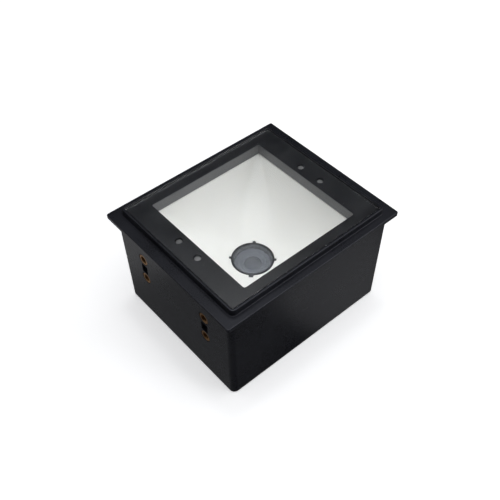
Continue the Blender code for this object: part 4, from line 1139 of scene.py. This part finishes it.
def make_screws():
    tree = screw_tree()
    metal = {"Metal": "steel"}
    sets = (
        ("base_screw", BASE_SCREW, 1.1, DOWN, (2.3, 0.9, 1.0, 8.0, 0.8)),
        ("board_screw", BOARD_SCREW, BOARD_HIGH.z + 0.1, UP, (1.9, 1.1, 0.8, 4.6, 0.6)),
        ("bracket_screw", BRACKET_POST, BOARD_LOW.z - 0.1, DOWN, (1.9, 1.1, 0.8, 5.0, 0.6)),
        ("sensor_board_screw", SENSOR_SCREW, 40.3, DOWN, (1.4, 0.8, 0.6, 2.6, 0.45)),
    )
    labels = ("Head radius", "Head height", "Shank radius", "Shank length", "Pitch")
    for name, place, level, turn, values in sets:
        places = [((x * place[0], y * place[1], level), turn) for x, y in SIGNS]
        nodes = [f"{name}_{number}" for number in (1, 2, 3, 4)]
        grow(name + "s", tree, places, dict(zip(labels, values)), metal, replaced=nodes)
    places = [((x * IMAGER_SCREW, 0, 8.1), DOWN) for x in (-1, 1)]
    sizes = dict(zip(labels, (1.5, 0.9, 0.7, 3.0, 0.5)))
    nodes = ["imager_screw_1", "imager_screw_2"]
    grow("imager_screws", tree, places, sizes, metal, replaced=nodes)


def make_inserts():
    places = []
    for x, y in SIGNS:
        for z in INSERT_LEVELS:
            mouth = body_half(z)[0] - 0.1
            places.append(((x * mouth, y * INSERT_Y, z), (0, x * math.pi / 2, 0)))
    sizes = {"Radius": 2.2, "Bore": 1.25, "Length": 4.6, "Knurl depth": 0.05, "Pitch": 0.5}
    nodes = [f"brass_insert_{number}" for number in range(1, 9)]
    grow("brass_inserts", insert_tree(), places, sizes, {"Metal": "brass"}, replaced=nodes)


def make_fine_parts():
    """What else repeats: the focus thread, the socket's contacts, the chip's leads, and the small parts."""
    sizes = {"Radius": 5.8, "Height": 3.0, "Pitch": 0.5, "Ridge": 0.14}
    places = [((0, 0, BARREL_LOW.z + 0.25), UP)]
    grow("focus_thread", thread_tree(), places, sizes, {"Metal": "barrel"}, "lens_barrel")

    first = -CONTACT_PITCH * (CONTACTS - 1) / 2
    back = SOCKET_HIGH.y - PORT[1] + 0.2
    places = [((first + n * CONTACT_PITCH, back, PORT_LOW + PORT[2] - 5.2), UP) for n in range(CONTACTS)]
    sizes = {"Width": 0.45, "Thickness": 0.25, "Reach": 8.0, "Drop": 1.4}
    grow("socket_contacts", contact_tree(), places, sizes, {"Metal": "gold"})

    places = []
    centre = (CHIP_LOW + CHIP_HIGH) / 2
    count, pitch = 18, 0.6
    for quarter in range(4):
        turn = quarter * math.pi / 2
        out = Vector((math.cos(turn), math.sin(turn), 0))
        along = Vector((-out.y, out.x, 0))
        for n in range(count):
            place = centre + out * 5.9 + along * pitch * (n - (count - 1) / 2)
            places.append(((place.x, place.y, CHIP_LOW.z + 0.6), (0, 0, turn)))
    sizes = {"Width": 0.28, "Thickness": 0.14, "Reach": 1.1, "Drop": 0.6}
    grow("chip_leads", lead_tree(), places, sizes, {"Metal": "tin"})

    places = []
    level = BOARD_HIGH.z + 0.02
    for x, y, count, step in ((-24, 10, 9, 2.3), (-24, -10, 9, 2.3), (-10, -16, 12, 2.2), (8, -6, 4, 2.2), (8, 6, 4, 2.2)):
        for n in range(count):
            turn = math.pi / 2 if n % 3 else 0.0
            if abs(x + n * step) > BRACKET_POST[0] + 2.6 or abs(x + n * step) < BRACKET_POST[0] - 2.6:
                places.append(((x + n * step, y, level), (0, 0, turn)))
    sizes = {"Long": 1.6, "Wide": 0.8, "High": 0.7}
    looks = {"Body": "ceramic", "Ends": "tin"}
    grow("board_capacitors", small_part_tree(), places, sizes, looks)

    places = []
    nodes = []
    for side in ("left", "right"):
        for count in (1, 2):
            name = f"{side}_led_{count}"
            low, high = node_box(name)
            places.append((((low.x + high.x) / 2, (low.y + high.y) / 2, high.z), DOWN))
            nodes.append(name)
    sizes = {"Long": 3.5, "Wide": 2.8, "High": 0.9}
    looks = {"Package": "led", "Face": "phosphor"}
    grow("side_leds", led_tree(), places, sizes, looks, replaced=nodes)


def wear(item, look):
    """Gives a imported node, whose shape stays, its finished look."""
    item.data.materials.clear()
    item.data.materials.append(MATERIALS[look])


def dress_packed_nodes():
    looks = {
        "window_gasket": "foam",
        "lens_holder": "holder",
        "engine_bracket": "holder",
        "image_sensor": "die",
        "imager_board": "board",
        "main_board": "board",
        "left_sensor_board": "board",
        "right_sensor_board": "board",
        "decoder_chip": "chip",
        "buzzer": "chip",
        "flex_cable": "flex",
        "left_ribbon": "flex",
        "right_ribbon": "flex",
    }
    for name, look in looks.items():
        wear(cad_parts[name], look)


# ---------------------------------------------------------------- the studio

AZIMUTH, ELEVATION, ROLL = -40.282, 47.813, -0.782
DISTANCE = 260.281
LENS_MM = 52.882
AIM_OFFSET = (-0.957, -13.074)


def make_camera():
    """Camera that looks down on the near corner from the front left."""
    turn, rise, roll = (math.radians(value) for value in (AZIMUTH, ELEVATION, ROLL))
    right = Vector((math.cos(turn), math.sin(turn), 0))
    back = Vector((math.sin(turn) * math.cos(rise), -math.cos(turn) * math.cos(rise), math.sin(rise)))
    up = back.cross(right)
    place = Vector((0, 0, FLANGE_TOP)) + back * DISTANCE + right * AIM_OFFSET[0] + up * AIM_OFFSET[1]
    rolled_right = right * math.cos(roll) + up * math.sin(roll)
    rolled_up = up * math.cos(roll) - right * math.sin(roll)
    data = bpy.data.cameras.new("camera")
    data.lens = LENS_MM
    data.sensor_width = 36.0
    data.clip_start = 0.01
    camera = bpy.data.objects.new("camera", data)
    axes = Matrix((rolled_right, rolled_up, back)).transposed().to_4x4()
    camera.matrix_world = Matrix.Translation(place * MM) @ axes
    bpy.context.scene.collection.objects.link(camera)
    bpy.context.scene.camera = camera


def make_floor():
    shape = bmesh.new()
    half = 3.0
    corners = [shape.verts.new((x * half, y * half, 0)) for x, y in ((-1, -1), (1, -1), (1, 1), (-1, 1))]
    shape.faces.new(corners)
    floor = object_from("floor", shape, stage_floor())
    floor.visible_glossy = False
    floor.visible_shadow = False


# Soft patches of sky: direction as azimuth and elevation, half width, and brightness.
SKY = (
    (0, 90, 45, 1.9),
    (-40, 12, 35, 1.392),
    (140, 12, 35, 0.129),
    (230, 60, 40, 0.117),
    (130, -48, 40, 0.12),
    (0, 42, 20, 0.9),
    (50, 80, 4, 22.0),
    (220, -48, 40, 0.06),
    (-60, 31, 10, 4.5),
)
BACKDROP = 1.0

# Low bounce cards: place, target and watts.
CARDS = {
    "card_left": ((-84, 92, -26), (-36, 31, 32), 0.0030),
    "card_right": ((62, -75, -40), (36, -32, 22), 0.0030),
    "card_front": ((0, -85, -45), (5, -32, 20), 0.0007),
}
CARD_WIDTH = 70


def sky_patch(tree, direction, azimuth, elevation, half_width, brightness):
    """Brightness that falls off softly from the middle of a patch of sky."""
    turn, rise = math.radians(azimuth), math.radians(elevation)
    middle = (math.cos(turn) * math.cos(rise), math.sin(turn) * math.cos(rise), math.sin(rise))
    inputs = {0: direction, 1: middle}
    near = add_node(tree, "ShaderNodeVectorMath", inputs, operation="DOT_PRODUCT").outputs["Value"]
    inputs = {"Value": near, "From Min": math.cos(math.radians(half_width)), "To Max": brightness}
    return add_node(tree, "ShaderNodeMapRange", inputs, interpolation_type="SMOOTHSTEP").outputs["Result"]


def make_sky():
    """A dark studio with soft patches of light, behind a pale backdrop."""
    world = bpy.data.worlds.new("studio")
    world.use_nodes = True
    tree = world.node_tree
    tree.nodes.clear()
    place = add_node(tree, "ShaderNodeTexCoord").outputs["Generated"]
    direction = add_node(tree, "ShaderNodeVectorMath", {0: place}, operation="NORMALIZE").outputs["Vector"]
    glow = 0.0
    for patch in SKY:
        glow = math_node(tree, "ADD", glow, sky_patch(tree, direction, *patch))
    lit = add_node(tree, "ShaderNodeBackground", {"Strength": glow})
    backdrop = add_node(tree, "ShaderNodeBackground", {"Strength": BACKDROP})
    for background in (lit, backdrop):
        background.inputs["Color"].default_value = (0.965, 0.975, 1, 1)
    seen = add_node(tree, "ShaderNodeLightPath").outputs["Is Camera Ray"]
    both = add_node(tree, "ShaderNodeMixShader", {0: seen, 1: lit.outputs[0], 2: backdrop.outputs[0]})
    add_node(tree, "ShaderNodeOutputWorld", {"Surface": both.outputs[0]})
    bpy.context.scene.world = world
    bpy.context.scene.view_settings.view_transform = "Standard"


def make_cards():
    for name, (place, target, power) in CARDS.items():
        data = bpy.data.lights.new(name, "AREA")
        data.shape = "DISK"
        data.size = CARD_WIDTH * MM
        data.energy = power
        card = bpy.data.objects.new(name, data)
        away = Vector(place) - Vector(target)
        turned = away.to_track_quat("Z", "Y").to_matrix().to_4x4()
        card.matrix_world = Matrix.Translation(Vector(place) * MM) @ turned
        bpy.context.scene.collection.objects.link(card)


make_shell()
make_base()
make_window()
make_shroud()
make_bowl()
make_lens_ring()
make_barrel()
make_lenses()
make_sensors()
make_socket()
make_screws()
make_inserts()
make_fine_parts()
dress_packed_nodes()
make_camera()
make_floor()
make_sky()
make_cards()
